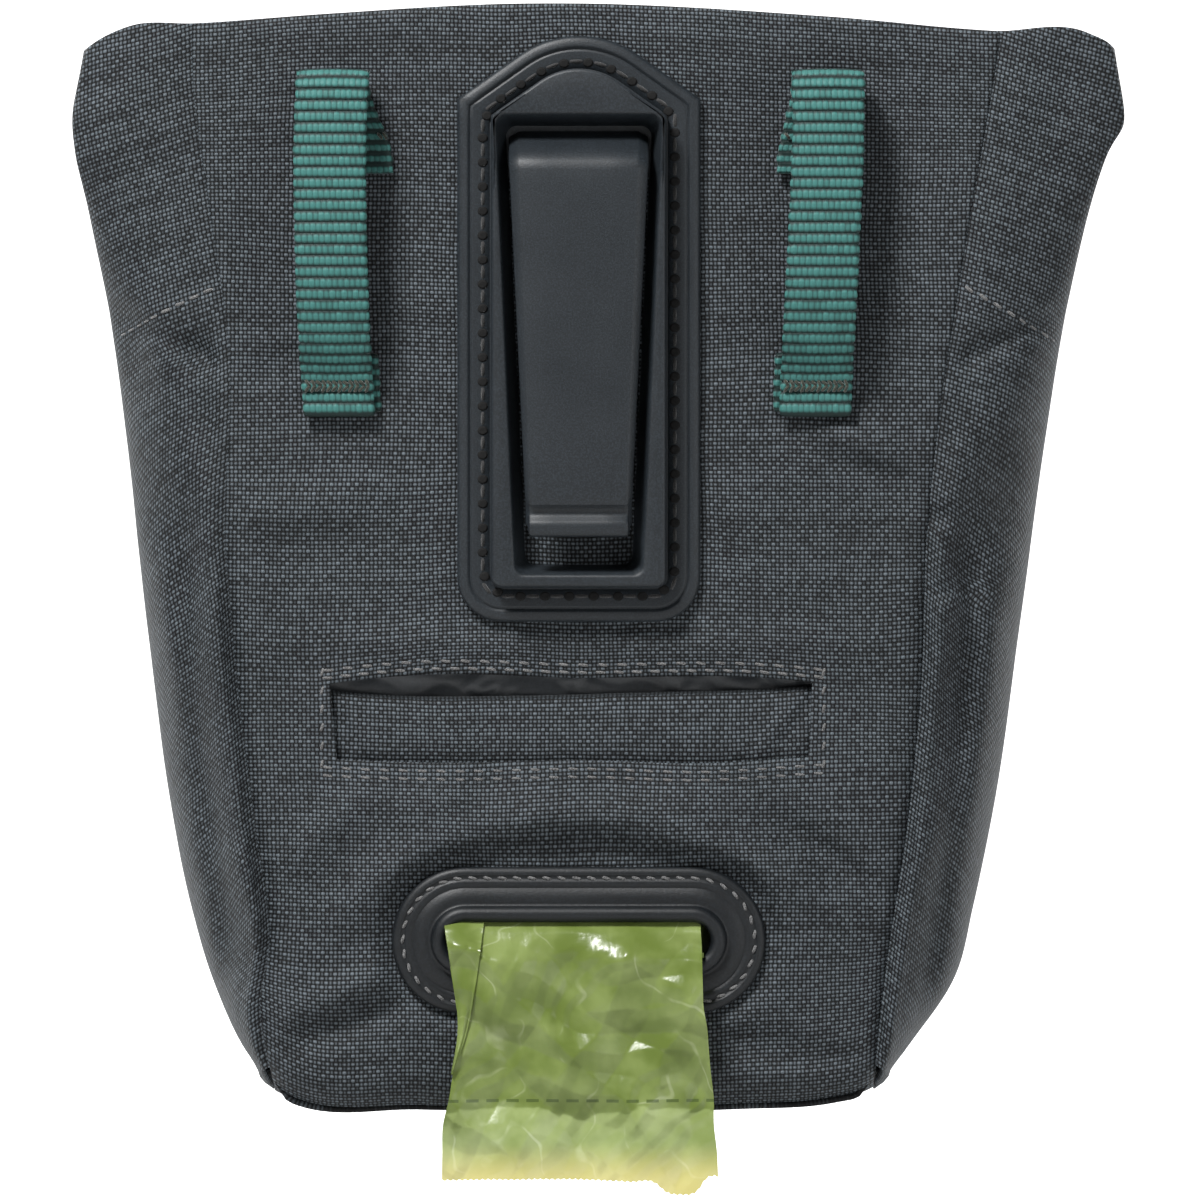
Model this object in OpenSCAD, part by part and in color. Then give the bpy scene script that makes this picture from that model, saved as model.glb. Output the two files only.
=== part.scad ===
// Belt-worn treat pouch with a spring clip, two webbing belt loops and a
// pickup-bag dispenser in its back panel.
//
// Frame: the origin is the roof of the belt channel behind the clip's tongue,
// +Z is up and +Y points away from the wearer. All sizes are in millimetres.

/* [Pouch] */
// Height of the rim above the roof of the belt channel
rim_z = 25; // [20:1:32]
// Height of the whole pouch, from its base to the rim
pouch_h = 178; // [170:1:190]
// Width of the front and back panels at the rim
top_w = 126; // [116:1:134]
// Width of the front and back panels at the base
base_w = 98; // [94:1:104]
// Depth of the pouch where it bulges most
belly_depth = 55; // [52:1:62]
// Depth of the shut rim, over both fabric faces
rim_depth = 7.2; // [7.2:0.1:9]
// Height of the flat rim that the magnets hold shut
rim_h = 22; // [18:1:24]
// How far a gusset's fold stands out from the panel at the rim
ear_reach = 21; // [12:1:24]
// How far a gusset stands out from the panel near the base
waist_reach = 14.5; // [8:0.5:18]
// Thickness of the outer fabric
fabric_t = 1; // [0.8:0.1:1.1]

/* [Clip] */
// Width of the clip's stitched base
clip_w = 39; // [34:1:42]
// Height of the clip's stitched base
clip_h = 94; // [88:1:98]
// Belt channel, from the base's frame to the tongue
belt_gap = 5; // [4.8:0.1:5.6]
// Length of the tongue below the channel's roof
tongue_len = 60.6; // [56:0.2:62]
// Width of the tongue at its root
tongue_w = 23; // [20:0.5:24]
// Width of the tongue at its lip
tongue_tip_w = 16.4; // [14:0.2:18]

/* [Belt loops] */
// Width of the webbing
web_w = 10.5; // [9:0.5:13]
// Thickness of the webbing
web_t = 1.3; // [1:0.1:1.5]
// Distance between the centres of the two loops
loop_spacing = 78; // [66:1:84]
// Clear gap between a loop and the back panel
loop_gap = 6.7; // [5.5:0.1:7]

/* [Dispenser] */
// Overall width of the dispenser's grommet
grommet_w = 60; // [58:1:64]
// Overall height of the dispenser's grommet
grommet_h = 23.5; // [22:0.5:26]
// Width of the slot that the bags come out of
slot_w = 44; // [42:1:46]
// Height of the slot
slot_h = 6; // [5.5:0.5:7]
// Height of the slot's centre
slot_z = -125.4; // [-127:0.2:-124]
// Radius of a full roll of bags
roll_r = 14.5; // [12:0.5:15]
// Length of the roll
roll_len = 56; // [50:1:58]

/* [Slit pocket] */
// Width of the framed window above the dispenser
window_w = 77.6; // [70:0.2:78]
// Height of the window's upper edge
window_top = -82; // [-83:0.2:-81]
// Height of the window
window_h = 15; // [14:0.5:16]
// Open slit above the welt
slit_h = 4.6; // [4.4:0.1:6]

/* [Front] */
// Length of the zipped opening
zip_len = 92; // [80:1:96]
// Height of the zip
zip_z = -14; // [-16:0.5:-12]
// Height of the drop pocket's mouth
drop_top = -66; // [-70:1:-64]
// How far the drop pocket's mouth stands out past the belly
drop_gape = 7; // [7:0.5:9]

/* [Hidden] */

$fn = 48;
eps = 0.01;
base_z = rim_z - pouch_h;
back_y = belt_gap / 2 + 2.3;        // outer face of the back panel
rim_front_y = back_y + rim_depth;   // outer face of the shut front rim
belly_z = -107;                     // height where the front bulges most
belly_y = back_y + belly_depth;
tray_h = 4;                         // upturned edge of the bottom panel
tray_depth = belly_depth - 1.8;
panel_z = base_z + tray_h;          // lower edge of the front and back panels
hem_z = -27;                        // lower edge of the facings
liner_t = 0.6;
body_grey = [0.26, 0.275, 0.285];
liner_grey = [0.17, 0.18, 0.19];
black = [0.1, 0.105, 0.11];
green = [0.2, 0.42, 0.39];
film_green = [0.47, 0.56, 0.26];

// ---- the pouch's outline ---------------------------------------------------

// Half width of the front and back panels at height z
function seam_x(z) = base_w / 2 + (top_w - base_w) / 2 * (z - base_z) / pouch_h;

// Outer face of the front panel at height z: a flat rim, then a belly
function front_y(z) =
    z >= rim_z - rim_h ? rim_front_y :
    z >= belly_z ? rim_front_y + (belly_y - rim_front_y)
        * sin(90 * (rim_z - rim_h - z) / (rim_z - rim_h - belly_z)) :
    belly_y - 2 * pow((belly_z - z) / (belly_z - panel_z), 2);

// How far the gusset stands out from the seam at height z, rounded at the base
function reach(z) =
    let (u = (z - base_z) / pouch_h, corner = (z - base_z - 5) / 45)
    max(2.5, (waist_reach + (ear_reach - waist_reach) * u)
        * min(1, pow(max(corner, 0), 0.6)));

// Heights from z0 up to z1. All the sheets share the levels between, so nested ones stay apart
level_h = 7;
function heights(z0, z1) = concat(
    [z0],
    [for (k = [-22 : 3]) let (z = rim_z - rim_h + level_h * k) if (z > z0 + 1 && z < z1 - 1) z],
    [z1]
);

// A plate cut to the shape of the front and back panels, less inset at each side
module panel_outline(z0, z1, inset = 0) {
    rotate([90, 0, 0])
        translate([0, 0, -100])
            linear_extrude(120)
                polygon([
                    [-seam_x(z0) + inset, z0], [seam_x(z0) - inset, z0],
                    [seam_x(z1) - inset, z1], [-seam_x(z1) + inset, z1]
                ]);
}

// A sheet across the pouch, as wide as the panels, whose side profile is given in (y, z)
module sheet_across(profile, half_w) {
    rotate([90, 0, 90])
        translate([0, 0, -half_w])
            linear_extrude(2 * half_w)
                polygon(profile);
}

// A sheet that follows the front panel at a depth of d0 to d1 behind its face
module front_sheet(z0, z1, d0, d1, inset) {
    zs = heights(z0, z1);
    intersection() {
        panel_outline(z0 - 1, z1 + 1, inset);
        sheet_across(concat(
            [for (z = zs) [front_y(z) - d0, z]],
            [for (i = [len(zs) - 1 : -1 : 0]) [front_y(zs[i]) - d1, zs[i]]]
        ), top_w);
    }
}

// ---- gussets ---------------------------------------------------------------

gusset_arc = 12;    // steps across a gusset, from the back seam to the front seam

// A point of the right gusset at height z, across by step j, d inside its outer face
function gusset_point(z, j, d) =
    let (a = -90 + 180 * j / gusset_arc,
         mid = (back_y + front_y(z)) / 2,
         half = (front_y(z) - back_y) / 2 - d)
    [seam_x(z) + 0.3 + (reach(z) - d) * cos(a), mid + half * sin(a), z];

// The right gusset's shell between two heights and two depths behind its outer face
module gusset_shell(z0, z1, d0, d1) {
    zs = heights(z0, z1);
    n = len(zs) - 1;
    m = gusset_arc + 1;
    outer = [for (z = zs) for (j = [0 : gusset_arc]) gusset_point(z, j, d0)];
    inner = [for (z = zs) for (j = [0 : gusset_arc]) gusset_point(z, j, d1)];
    k = len(outer);
    faces = concat(
        [for (i = [0 : n - 1]) for (j = [0 : gusset_arc - 1])
            each quad(i * m + j, i * m + j + 1, i * m + m + j + 1, i * m + m + j)],
        [for (i = [0 : n - 1]) for (j = [0 : gusset_arc - 1])
            each quad(k + i * m + j, k + i * m + m + j, k + i * m + m + j + 1, k + i * m + j + 1)],
        [for (i = [0 : n - 1])
            each quad(i * m, i * m + m, k + i * m + m, k + i * m)],
        [for (i = [0 : n - 1])
            each quad(i * m + gusset_arc, k + i * m + gusset_arc,
                k + i * m + m + gusset_arc, i * m + m + gusset_arc)],
        [for (j = [0 : gusset_arc - 1]) each quad(j, k + j, k + j + 1, j + 1)],
        [for (j = [0 : gusset_arc - 1])
            each quad(n * m + j, n * m + j + 1, k + n * m + j + 1, k + n * m + j)]
    );
    polyhedron(concat(outer, inner), faces);
}

function quad(a, b, c, d) = [[a, c, b], [a, d, c]];

module right_gusset() color(body_grey) gusset_shell(panel_z + 0.5, rim_z, 0, fabric_t);
module left_gusset() mirror([1, 0, 0]) right_gusset();

module right_gusset_facing()
    color(liner_grey) gusset_shell(hem_z, rim_z - 0.5, fabric_t + 0.2, fabric_t + 0.8);
module left_gusset_facing() mirror([1, 0, 0]) right_gusset_facing();

module right_gusset_liner()
    color(liner_grey) gusset_shell(panel_z + 4, hem_z - 0.3, fabric_t + 0.2, fabric_t + 0.8);
module left_gusset_liner() mirror([1, 0, 0]) right_gusset_liner();

// ---- back ------------------------------------------------------------------

// A bar with fully round ends, lying along X, that runs from y0 to y1
module stadium(w, h, y0, y1) {
    for (s = [-1, 1])
        translate([s * (w - h) / 2, y1, 0])
            rotate([90, 0, 0])
                cylinder(h = y1 - y0, d = h);
    translate([-(w - h) / 2, y0, -h / 2])
        cube([w - h, y1 - y0, h]);
}

neck_w = slot_w + 3;
neck_h = slot_h + 3;

module back_panel() color(body_grey) difference() {
    intersection() {
        panel_outline(panel_z, rim_z);
        translate([-top_w, back_y, panel_z]) cube([2 * top_w, fabric_t, pouch_h]);
    }
    translate([-window_w / 2, back_y - 1, window_top - window_h])
        cube([window_w, 3, window_h]);
    translate([0, 0, slot_z]) stadium(neck_w + 0.4, neck_h + 0.4, back_y - 1, back_y + 3);
}

module slit_welt() color(body_grey)
    translate([-window_w / 2 - 1, back_y + fabric_t, window_top - window_h - 2])
        cube([window_w + 2, 0.8, window_h - slit_h + 2]);

module back_stiffener() color("dimgray")
    translate([-44, back_y + fabric_t, -72]) cube([88, 1, 76]);

magnet = [14, 1.5, 11];
magnet_xs = [-42, -14, 14, 42];
module magnets(y) color("silver")
    for (x = magnet_xs) translate([x - magnet[0] / 2, y, rim_z - 17]) cube(magnet);
module back_magnets() magnets(back_y + fabric_t);

facing_y = back_y + 2.6;    // face of the back facing that the panel hides
module back_facing() color(liner_grey) intersection() {
    panel_outline(hem_z - 1, rim_z + 1, 1);
    translate([-top_w, facing_y, hem_z]) cube([2 * top_w, liner_t, rim_z - 0.4 - hem_z]);
}

// Side profile of the bag-roll pocket's inside, from its roof round to its floor
pocket_half_w = 40.4;
pocket_roof = -78.8;
pocket_floor = -143.6;
pocket_deep_y = back_y + 35.6;
pocket_shoulder = -103;
module roll_pocket() color(liner_grey) difference() {
    sheet_across([
        [back_y + fabric_t, pocket_roof], [back_y + 4.2, pocket_roof],
        [pocket_deep_y + 0.6, pocket_shoulder + 0.2], [pocket_deep_y + 0.6, pocket_floor - 0.6],
        [back_y + fabric_t, pocket_floor - 0.6]
    ], pocket_half_w + 0.6);
    sheet_across([
        [back_y, pocket_roof - 0.6], [back_y + 4, pocket_roof - 0.6],
        [pocket_deep_y, pocket_shoulder], [pocket_deep_y, pocket_floor], [back_y, pocket_floor]
    ], pocket_half_w);
}

// The treat compartment's back wall, which steps forward over the roll pocket
module back_liner() color(liner_grey) intersection() {
    panel_outline(panel_z, hem_z, 1);
    sheet_across([
        [back_y + 2.2, hem_z - 0.3], [back_y + 2.2, pocket_roof + 0.8],
        [back_y + 4.6, pocket_roof + 0.8], [pocket_deep_y + 1.4, pocket_shoulder + 0.6],
        [pocket_deep_y + 1.4, panel_z + 2], [pocket_deep_y + 2, panel_z + 2],
        [pocket_deep_y + 2, pocket_shoulder + 0.9], [back_y + 4.8, pocket_roof + 1.4],
        [back_y + 2.8, pocket_roof + 1.4], [back_y + 2.8, hem_z - 0.3]
    ], top_w);
}

module bottom_panel() color(body_grey) difference() {
    translate([-base_w / 2 - 2.5, back_y, base_z])
        cube([base_w + 5, tray_depth, tray_h]);
    translate([-base_w / 2 - 1.5, back_y + 1, base_z + 1])
        cube([base_w + 3, tray_depth - 2, tray_h]);
}

module base_board() color("dimgray")
    translate([-base_w / 2, back_y + 2, base_z + 1]) cube([base_w, tray_depth - 4, 1.2]);

module bottom_liner() color(liner_grey)
    translate([-base_w / 2, back_y + 2, base_z + 2.2]) cube([base_w, tray_depth - 4, liner_t]);

// ---- clip ------------------------------------------------------------------

clip_top = 19.7;
arch_rise = 10;                                      // height of the rounded top
arch_r = (pow(clip_w / 2 - 1.5, 2) + pow(arch_rise, 2)) / (2 * arch_rise);
flange_t = 1.7;
frame_t = 2.3;
frame_inset = 5.3;
window_half = 10;
root_h = 7;                                          // height of the bridge over the channel

// The clip's outline, inset all round, from y0 to y1: square sides, round corners, arched top
module clip_plate(inset, y0, y1) {
    half = clip_w / 2 - inset;
    foot = clip_top - clip_h + inset;
    r = 7 - inset;
    shoulder = clip_top - arch_rise;
    translate([-half, y0, foot + max(r, 0.5)])
        cube([2 * half, y1 - y0, shoulder - foot - max(r, 0.5)]);
    translate([-half + max(r, 0.5), y0, foot])
        cube([2 * (half - max(r, 0.5)), y1 - y0, max(r, 0.5) + eps]);
    for (s = [-1, 1])
        translate([s * (half - max(r, 0.5)), y1, foot + max(r, 0.5)])
            rotate([90, 0, 0])
                cylinder(h = y1 - y0, r = max(r, 0.5));
    intersection() {
        translate([0, y1, clip_top - arch_r])
            rotate([90, 0, 0])
                cylinder(h = y1 - y0, r = arch_r - inset, $fn = 96);
        translate([-half, y0, shoulder - eps]) cube([2 * half, y1 - y0, arch_rise + 1]);
    }
}

module clip_base() color(black) difference() {
    union() {
        clip_plate(0, back_y - flange_t, back_y);
        clip_plate(frame_inset, back_y - frame_t, back_y - flange_t + eps);
        translate([-tongue_w / 2, -belt_gap / 2 + 0.4, 0])
            cube([tongue_w, belt_gap, root_h]);
    }
    // stitching channel
    difference() {
        clip_plate(2.4, back_y - flange_t - 1, back_y - flange_t + 0.4);
        clip_plate(4.2, back_y - flange_t - 2, back_y);
    }
    // window behind the tongue
    translate([-window_half, back_y - 4, clip_top - clip_h + 7.5])
        cube([2 * window_half, 6, -1 - clip_top + clip_h - 7.5]);
}

// Side profile of the tongue in (y, z): flat outer face, a belt bump and a flared lip
module clip_tongue() color(black) intersection() {
    sheet_across([
        [-belt_gap / 2 - 2.2, root_h - 0.2], [-belt_gap / 2 - 2.2, -tongue_len + 8.6],
        [-belt_gap / 2 - 0.6, -tongue_len + 5.6], [-belt_gap / 2 - 1.4, -tongue_len + 3.6],
        [-belt_gap / 2 - 1.4, -tongue_len], [-belt_gap / 2 + 1, -tongue_len],
        [1, -tongue_len + 3.2], [1, -tongue_len + 6.4],
        [-belt_gap / 2 + 0.7, -tongue_len + 10], [-belt_gap / 2, root_h - 0.2]
    ], tongue_w);
    rotate([90, 0, 0]) translate([0, 0, -20]) linear_extrude(40)
        polygon([
            [-tongue_w / 2, root_h], [-tongue_w / 2, 0],
            [-tongue_tip_w / 2, -tongue_len + 4], [-tongue_tip_w / 2, -tongue_len],
            [tongue_tip_w / 2, -tongue_len], [tongue_tip_w / 2, -tongue_len + 4],
            [tongue_w / 2, 0], [tongue_w / 2, root_h]
        ]);
}

// ---- belt loops ------------------------------------------------------------

loop_top = 12;
loop_bottom = -40.6;

// One loop of webbing, sewn flat to the panel at its foot and tacked under its top fold
module belt_loop(x) color(green) translate([x - web_w / 2, 0, 0]) {
    out_y = back_y - loop_gap - web_t;      // wearer's side of the strap
    fold_r = (back_y - out_y) / 2;
    rotate([90, 0, 90]) linear_extrude(web_w) polygon([
        [out_y, loop_top - fold_r], [out_y, loop_bottom + 8],
        [back_y - 2 * web_t, loop_bottom + 4], [back_y - 2 * web_t, loop_bottom],
        [back_y, loop_bottom], [back_y, loop_bottom + 6], [back_y - web_t, loop_bottom + 6],
        [back_y - web_t, loop_bottom + 4.4], [out_y + web_t, loop_bottom + 8.6],
        [out_y + web_t, loop_top - fold_r]
    ]);
    translate([0, back_y - fold_r, loop_top - fold_r]) rotate([0, 90, 0]) difference() {
        cylinder(h = web_w, r = fold_r);
        translate([0, 0, -1]) cylinder(h = web_w + 2, r = fold_r - web_t);
        translate([0, -10, -1]) cube([20, 20, web_w + 2]);
    }
    translate([0, back_y - web_t, loop_top - fold_r - 7]) cube([web_w, web_t, 7]);
}
module left_belt_loop() belt_loop(-loop_spacing / 2);
module right_belt_loop() belt_loop(loop_spacing / 2);

// ---- dispenser -------------------------------------------------------------

module dispenser_grommet() color(black) translate([0, 0, slot_z]) difference() {
    union() {
        stadium(grommet_w, grommet_h, back_y - 1.8, back_y);
        stadium(slot_w + 4, slot_h + 4.6, back_y - 3.4, back_y - 1);
        stadium(neck_w, neck_h, back_y - 1, back_y + 1.2);
    }
    difference() {
        stadium(grommet_w - 4.4, grommet_h - 4.4, back_y - 3, back_y - 1.4);
        stadium(grommet_w - 7.6, grommet_h - 7.6, back_y - 4, back_y);
    }
    stadium(slot_w, slot_h, back_y - 6, back_y + 4);
}

roll_y = back_y + 19.6;
roll_z = pocket_floor + roll_r + 0.6;
core_r = 6.4;

// A tube along X, centred on the roll's axis
module tube_along_x(len, r_out, r_in) translate([-len / 2, roll_y, roll_z])
    rotate([0, 90, 0]) difference() {
        cylinder(h = len, r = r_out);
        translate([0, 0, -1]) cylinder(h = len + 2, r = r_in);
    }
module bag_roll() color(film_green) tube_along_x(roll_len, roll_r, core_r + 0.05);
module roll_core() color("tan") tube_along_x(roll_len + 1, core_r, core_r - 0.9);

film_half_w = 20;
film_z = slot_z - slot_h / 2 + 0.3;     // underside of the film on the slot's lower lip
// The folded film from the roll's near side, down to the slot and out over its lower lip
module bag_web() color(film_green) sheet_across([
    [back_y - 3.9, film_z], [back_y + 2.2, film_z],
    [roll_y - 12.4, roll_z + 8.6], [roll_y - 13.1, roll_z + 9],
    [back_y + 1.7, film_z + 0.8], [back_y - 3.9, film_z + 0.8]
], film_half_w);

// The leading bag that hangs out of the slot
strip_foot = -166;
module bag_strip() color(film_green) rotate([90, 0, 0]) translate([0, 0, -back_y + 4.2])
    linear_extrude(1.2) polygon([
        [-film_half_w, film_z + 0.9], [film_half_w, film_z + 0.9],
        [film_half_w + 2, strip_foot], [-film_half_w - 2, strip_foot]
    ]);

// ---- front -----------------------------------------------------------------

zip_gap = 6;        // height of the slit in the front panel
zip_slope = atan((front_y(zip_z - 1) - front_y(zip_z + 1)) / 2);

// Moves things drawn about the zip's own origin onto the sloping front panel:
// local +Y points out of the panel, local +X along the zip
module on_zip(x = 0) translate([x, front_y(zip_z), zip_z]) rotate([zip_slope, 0, 0]) children();

module front_panel() color(body_grey) difference() {
    front_sheet(panel_z + 0.5, rim_z, 0, fabric_t, 0.3);
    on_zip() translate([-zip_len / 2, -3, -zip_gap / 2]) cube([zip_len, 6, zip_gap]);
}

module front_facing() color(liner_grey) front_sheet(-2, rim_z - 0.4, 2.6, 3.2, 1.3);
module front_liner() color(liner_grey) front_sheet(panel_z + 2, -2.3, 3.6, 4.2, 1.3);
module front_magnets() magnets(rim_front_y - fabric_t - magnet[1]);

// A flat bag of lining cloth behind the zip
module zip_pocket_bag() color(liner_grey) intersection() {
    front_sheet(-90, -4, 2.3, 3.5, 1.3);
    translate([-zip_len / 2 - 1, 0, -100]) cube([zip_len + 2, 100, 110]);
}

module zip_tape(z0) color(green) on_zip() translate([-zip_len / 2 - 1, -1.55, z0])
    cube([zip_len + 2, 0.45, 7]);
module zip_tape_upper() zip_tape(0.6);
module zip_tape_lower() zip_tape(-7.6);

coil_pitch = 1.9;
module zip_coil() color("dimgray") on_zip()
    for (x = [-zip_len / 2 + 8 : coil_pitch : zip_len / 2 - 3])
        translate([x, -1.1, -1.7]) cube([1.2, 1.1, 3.4]);

module zip_stops() color("silver") on_zip()
    for (x = [-zip_len / 2 + 0.3, zip_len / 2 - 1.7])
        translate([x, -1.1, -1.9]) cube([1.4, 1.2, 3.8]);

// The slider straddles the coil at its shut end; a bridge on it holds the pull
slider_x = -zip_len / 2 + 5.2;
bridge_y = 2.1;     // height of the pull's axis above the panel's face
module zip_slider() color("silver") on_zip(slider_x) {
    translate([-3, 0.3, -2.6]) cube([7, 1, 5.2]);
    for (z = [-2.6, 2]) translate([-3, -0.8, z]) cube([7, 1.2, 0.6]);
    difference() {
        translate([-1, 1.3 - eps, -2.1]) cube([2, 2.2, 4.2]);
        translate([-2, 1.3, -1.2]) cube([4, 1.5, 2.4]);
    }
}

// Moves things drawn about the pull's own axis to where it hangs, flat on the panel
module on_pull() on_zip(slider_x) translate([0, bridge_y, 0]) children();

pull_len = 12;
slot_foot = -pull_len + 1;
module zip_pull() color("silver") on_pull() {
    translate([-2.1, -0.35, -0.35]) cube([4.2, 0.7, 0.7]);
    for (x = [-2.1, 1.4]) translate([x, -0.35, -3.6]) cube([0.7, 0.7, 3.6]);
    difference() {
        translate([-2.4, -0.45, -pull_len]) cube([4.8, 0.9, pull_len - 3.4]);
        translate([-1.9, -1, slot_foot]) cube([3.8, 2, 1.6]);
    }
}

// A folded ribbon through the pull's slot, its two ends sewn together
module pull_tab() color(green) on_pull() rotate([90, 0, 90]) translate([0, 0, -1.7])
    linear_extrude(3.4) difference() {
        polygon([
            [-1.4, slot_foot + 1.15], [1.4, slot_foot + 1.15], [1.4, slot_foot - 1.6],
            [0.7, slot_foot - 3], [0.7, slot_foot - 13], [-0.7, slot_foot - 13],
            [-0.7, slot_foot - 3], [-1.4, slot_foot - 1.6]
        ]);
        polygon([
            [-0.7, slot_foot + 0.45], [0.7, slot_foot + 0.45], [0.7, slot_foot - 1.4],
            [0, slot_foot - 2.6], [-0.7, slot_foot - 1.4]
        ]);
    }

// Outer face of the drop pocket at height z: nearly upright, sewn in at its foot
drop_foot = panel_z + 3;
function drop_y(z) = let (s = (drop_top - z) / (drop_top - drop_foot))
    belly_y - 0.4 + drop_gape * sqrt(max(0, 1 - s * s)) + 2.5 * sin(180 * s);

// What lies between the front panel and the drop pocket's face, at a depth of cut
module drop_space(z0, z1, cut) {
    zs = heights(z0, z1);
    sheet_across(concat(
        [for (z = zs) [drop_y(z) - cut, z]],
        [for (i = [len(zs) - 1 : -1 : 0]) [front_y(zs[i]) + 0.1 - cut, zs[i]]]
    ), top_w);
}

module drop_pocket() color(body_grey) intersection() {
    panel_outline(panel_z, drop_top, 0.6);
    difference() {
        drop_space(drop_foot, drop_top, 0);
        intersection() {
            panel_outline(panel_z, drop_top + 2, 1.6);
            drop_space(drop_foot + 1.5, drop_top + 1, fabric_t);
        }
    }
}

// Bound elastic over the drop pocket's mouth
module drop_pocket_elastic() color(green) intersection() {
    panel_outline(drop_top, drop_top + 10, 0.6);
    translate([-top_w, drop_y(drop_top) - 1.3, drop_top])
        cube([2 * top_w, 1.6, 5]);
}

back_panel();
bottom_panel();
base_board();
left_gusset();
right_gusset();
left_gusset_facing();
right_gusset_facing();
left_gusset_liner();
right_gusset_liner();
back_facing();
back_liner();
bottom_liner();
back_magnets();
back_stiffener();
clip_base();
clip_tongue();
left_belt_loop();
right_belt_loop();
dispenser_grommet();
roll_pocket();
slit_welt();
bag_roll();
roll_core();
bag_web();
bag_strip();
front_panel();
front_facing();
front_liner();
front_magnets();
drop_pocket();
drop_pocket_elastic();
zip_pocket_bag();
zip_tape_upper();
zip_tape_lower();
zip_coil();
zip_stops();
zip_slider();
zip_pull();
pull_tab();
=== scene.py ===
"""Looks of the treat pouch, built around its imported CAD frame.

Cameras, lights and materials are in metres. The shapes are in millimetres until they become meshes.
"""
import math

import bpy
import numpy as np
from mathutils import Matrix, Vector


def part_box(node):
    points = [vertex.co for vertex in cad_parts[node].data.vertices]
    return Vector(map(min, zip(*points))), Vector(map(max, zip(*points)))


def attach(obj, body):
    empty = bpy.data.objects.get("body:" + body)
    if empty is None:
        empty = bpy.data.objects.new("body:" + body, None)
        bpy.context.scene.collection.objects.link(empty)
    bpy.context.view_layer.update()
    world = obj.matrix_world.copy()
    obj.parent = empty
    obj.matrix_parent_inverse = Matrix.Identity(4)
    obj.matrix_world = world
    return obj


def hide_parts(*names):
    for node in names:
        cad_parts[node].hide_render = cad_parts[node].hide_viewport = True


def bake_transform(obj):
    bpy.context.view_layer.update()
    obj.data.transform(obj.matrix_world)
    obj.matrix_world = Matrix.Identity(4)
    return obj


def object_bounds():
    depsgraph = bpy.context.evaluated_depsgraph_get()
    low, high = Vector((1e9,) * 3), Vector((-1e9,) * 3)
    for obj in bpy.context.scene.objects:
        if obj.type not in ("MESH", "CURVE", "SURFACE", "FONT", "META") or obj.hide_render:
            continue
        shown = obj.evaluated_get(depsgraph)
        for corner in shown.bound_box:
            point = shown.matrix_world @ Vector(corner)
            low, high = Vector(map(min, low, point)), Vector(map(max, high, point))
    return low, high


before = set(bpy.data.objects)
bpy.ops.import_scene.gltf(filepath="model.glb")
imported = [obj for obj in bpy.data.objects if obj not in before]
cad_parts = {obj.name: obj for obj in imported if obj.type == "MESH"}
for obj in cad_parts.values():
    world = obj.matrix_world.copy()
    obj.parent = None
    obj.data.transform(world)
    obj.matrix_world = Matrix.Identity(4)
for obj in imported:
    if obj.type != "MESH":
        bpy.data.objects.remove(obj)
cad_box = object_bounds()
MM = 0.001
BACK = "pouch_back"
FRONT = "front"

# ---- camera and light ----

VIEW_SIZE = 192 * MM         # height of what the camera takes in at the back panel
VIEW_CENTRE = Vector((3.4 * MM, 0, -70.8 * MM))
CAMERA_DISTANCE = 1.5


def make_camera():
    data = bpy.data.cameras.new("camera")
    data.sensor_width = 36
    data.lens = 36 * CAMERA_DISTANCE / VIEW_SIZE
    data.clip_start = 0.05
    data.clip_end = 50
    camera = bpy.data.objects.new("camera", data)
    camera.location = VIEW_CENTRE + Vector((0, -CAMERA_DISTANCE, 0))
    camera.rotation_euler = (math.radians(90), 0, 0)
    bpy.context.scene.collection.objects.link(camera)
    bpy.context.scene.camera = camera


def area_light(name, place, size, power, aim=(0, 0.02, -0.07)):
    data = bpy.data.lights.new(name, "AREA")
    data.energy = power
    data.size = size
    light = bpy.data.objects.new(name, data)
    light.location = place
    light.rotation_euler = (Vector(aim) - Vector(place)).to_track_quat("-Z", "Y").to_euler()
    bpy.context.scene.collection.objects.link(light)


def make_lights():
    bpy.context.scene.view_settings.view_transform = "Standard"
    world = bpy.data.worlds.new("studio")
    bpy.context.scene.world = world
    world.use_nodes = True
    sky = world.node_tree.nodes["Background"].inputs
    sky["Color"].default_value = (1, 1, 1, 1)
    sky["Strength"].default_value = 0.12
    area_light("key", (-0.36, -0.55, 0.75), 0.24, 24)
    area_light("fill", (0.9, -0.8, 0.15), 0.7, 4.5)
    area_light("backdrop", (0, 0.5, 1.3), 1.0, 90, (0, 2.6, 0.4))
    area_light("back_left", (-0.7, 0.7, 0.5), 0.6, 10)
    area_light("back_right", (0.7, 0.8, 0.4), 0.6, 10)


make_camera()
make_lights()

# ---- node helpers ----


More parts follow.
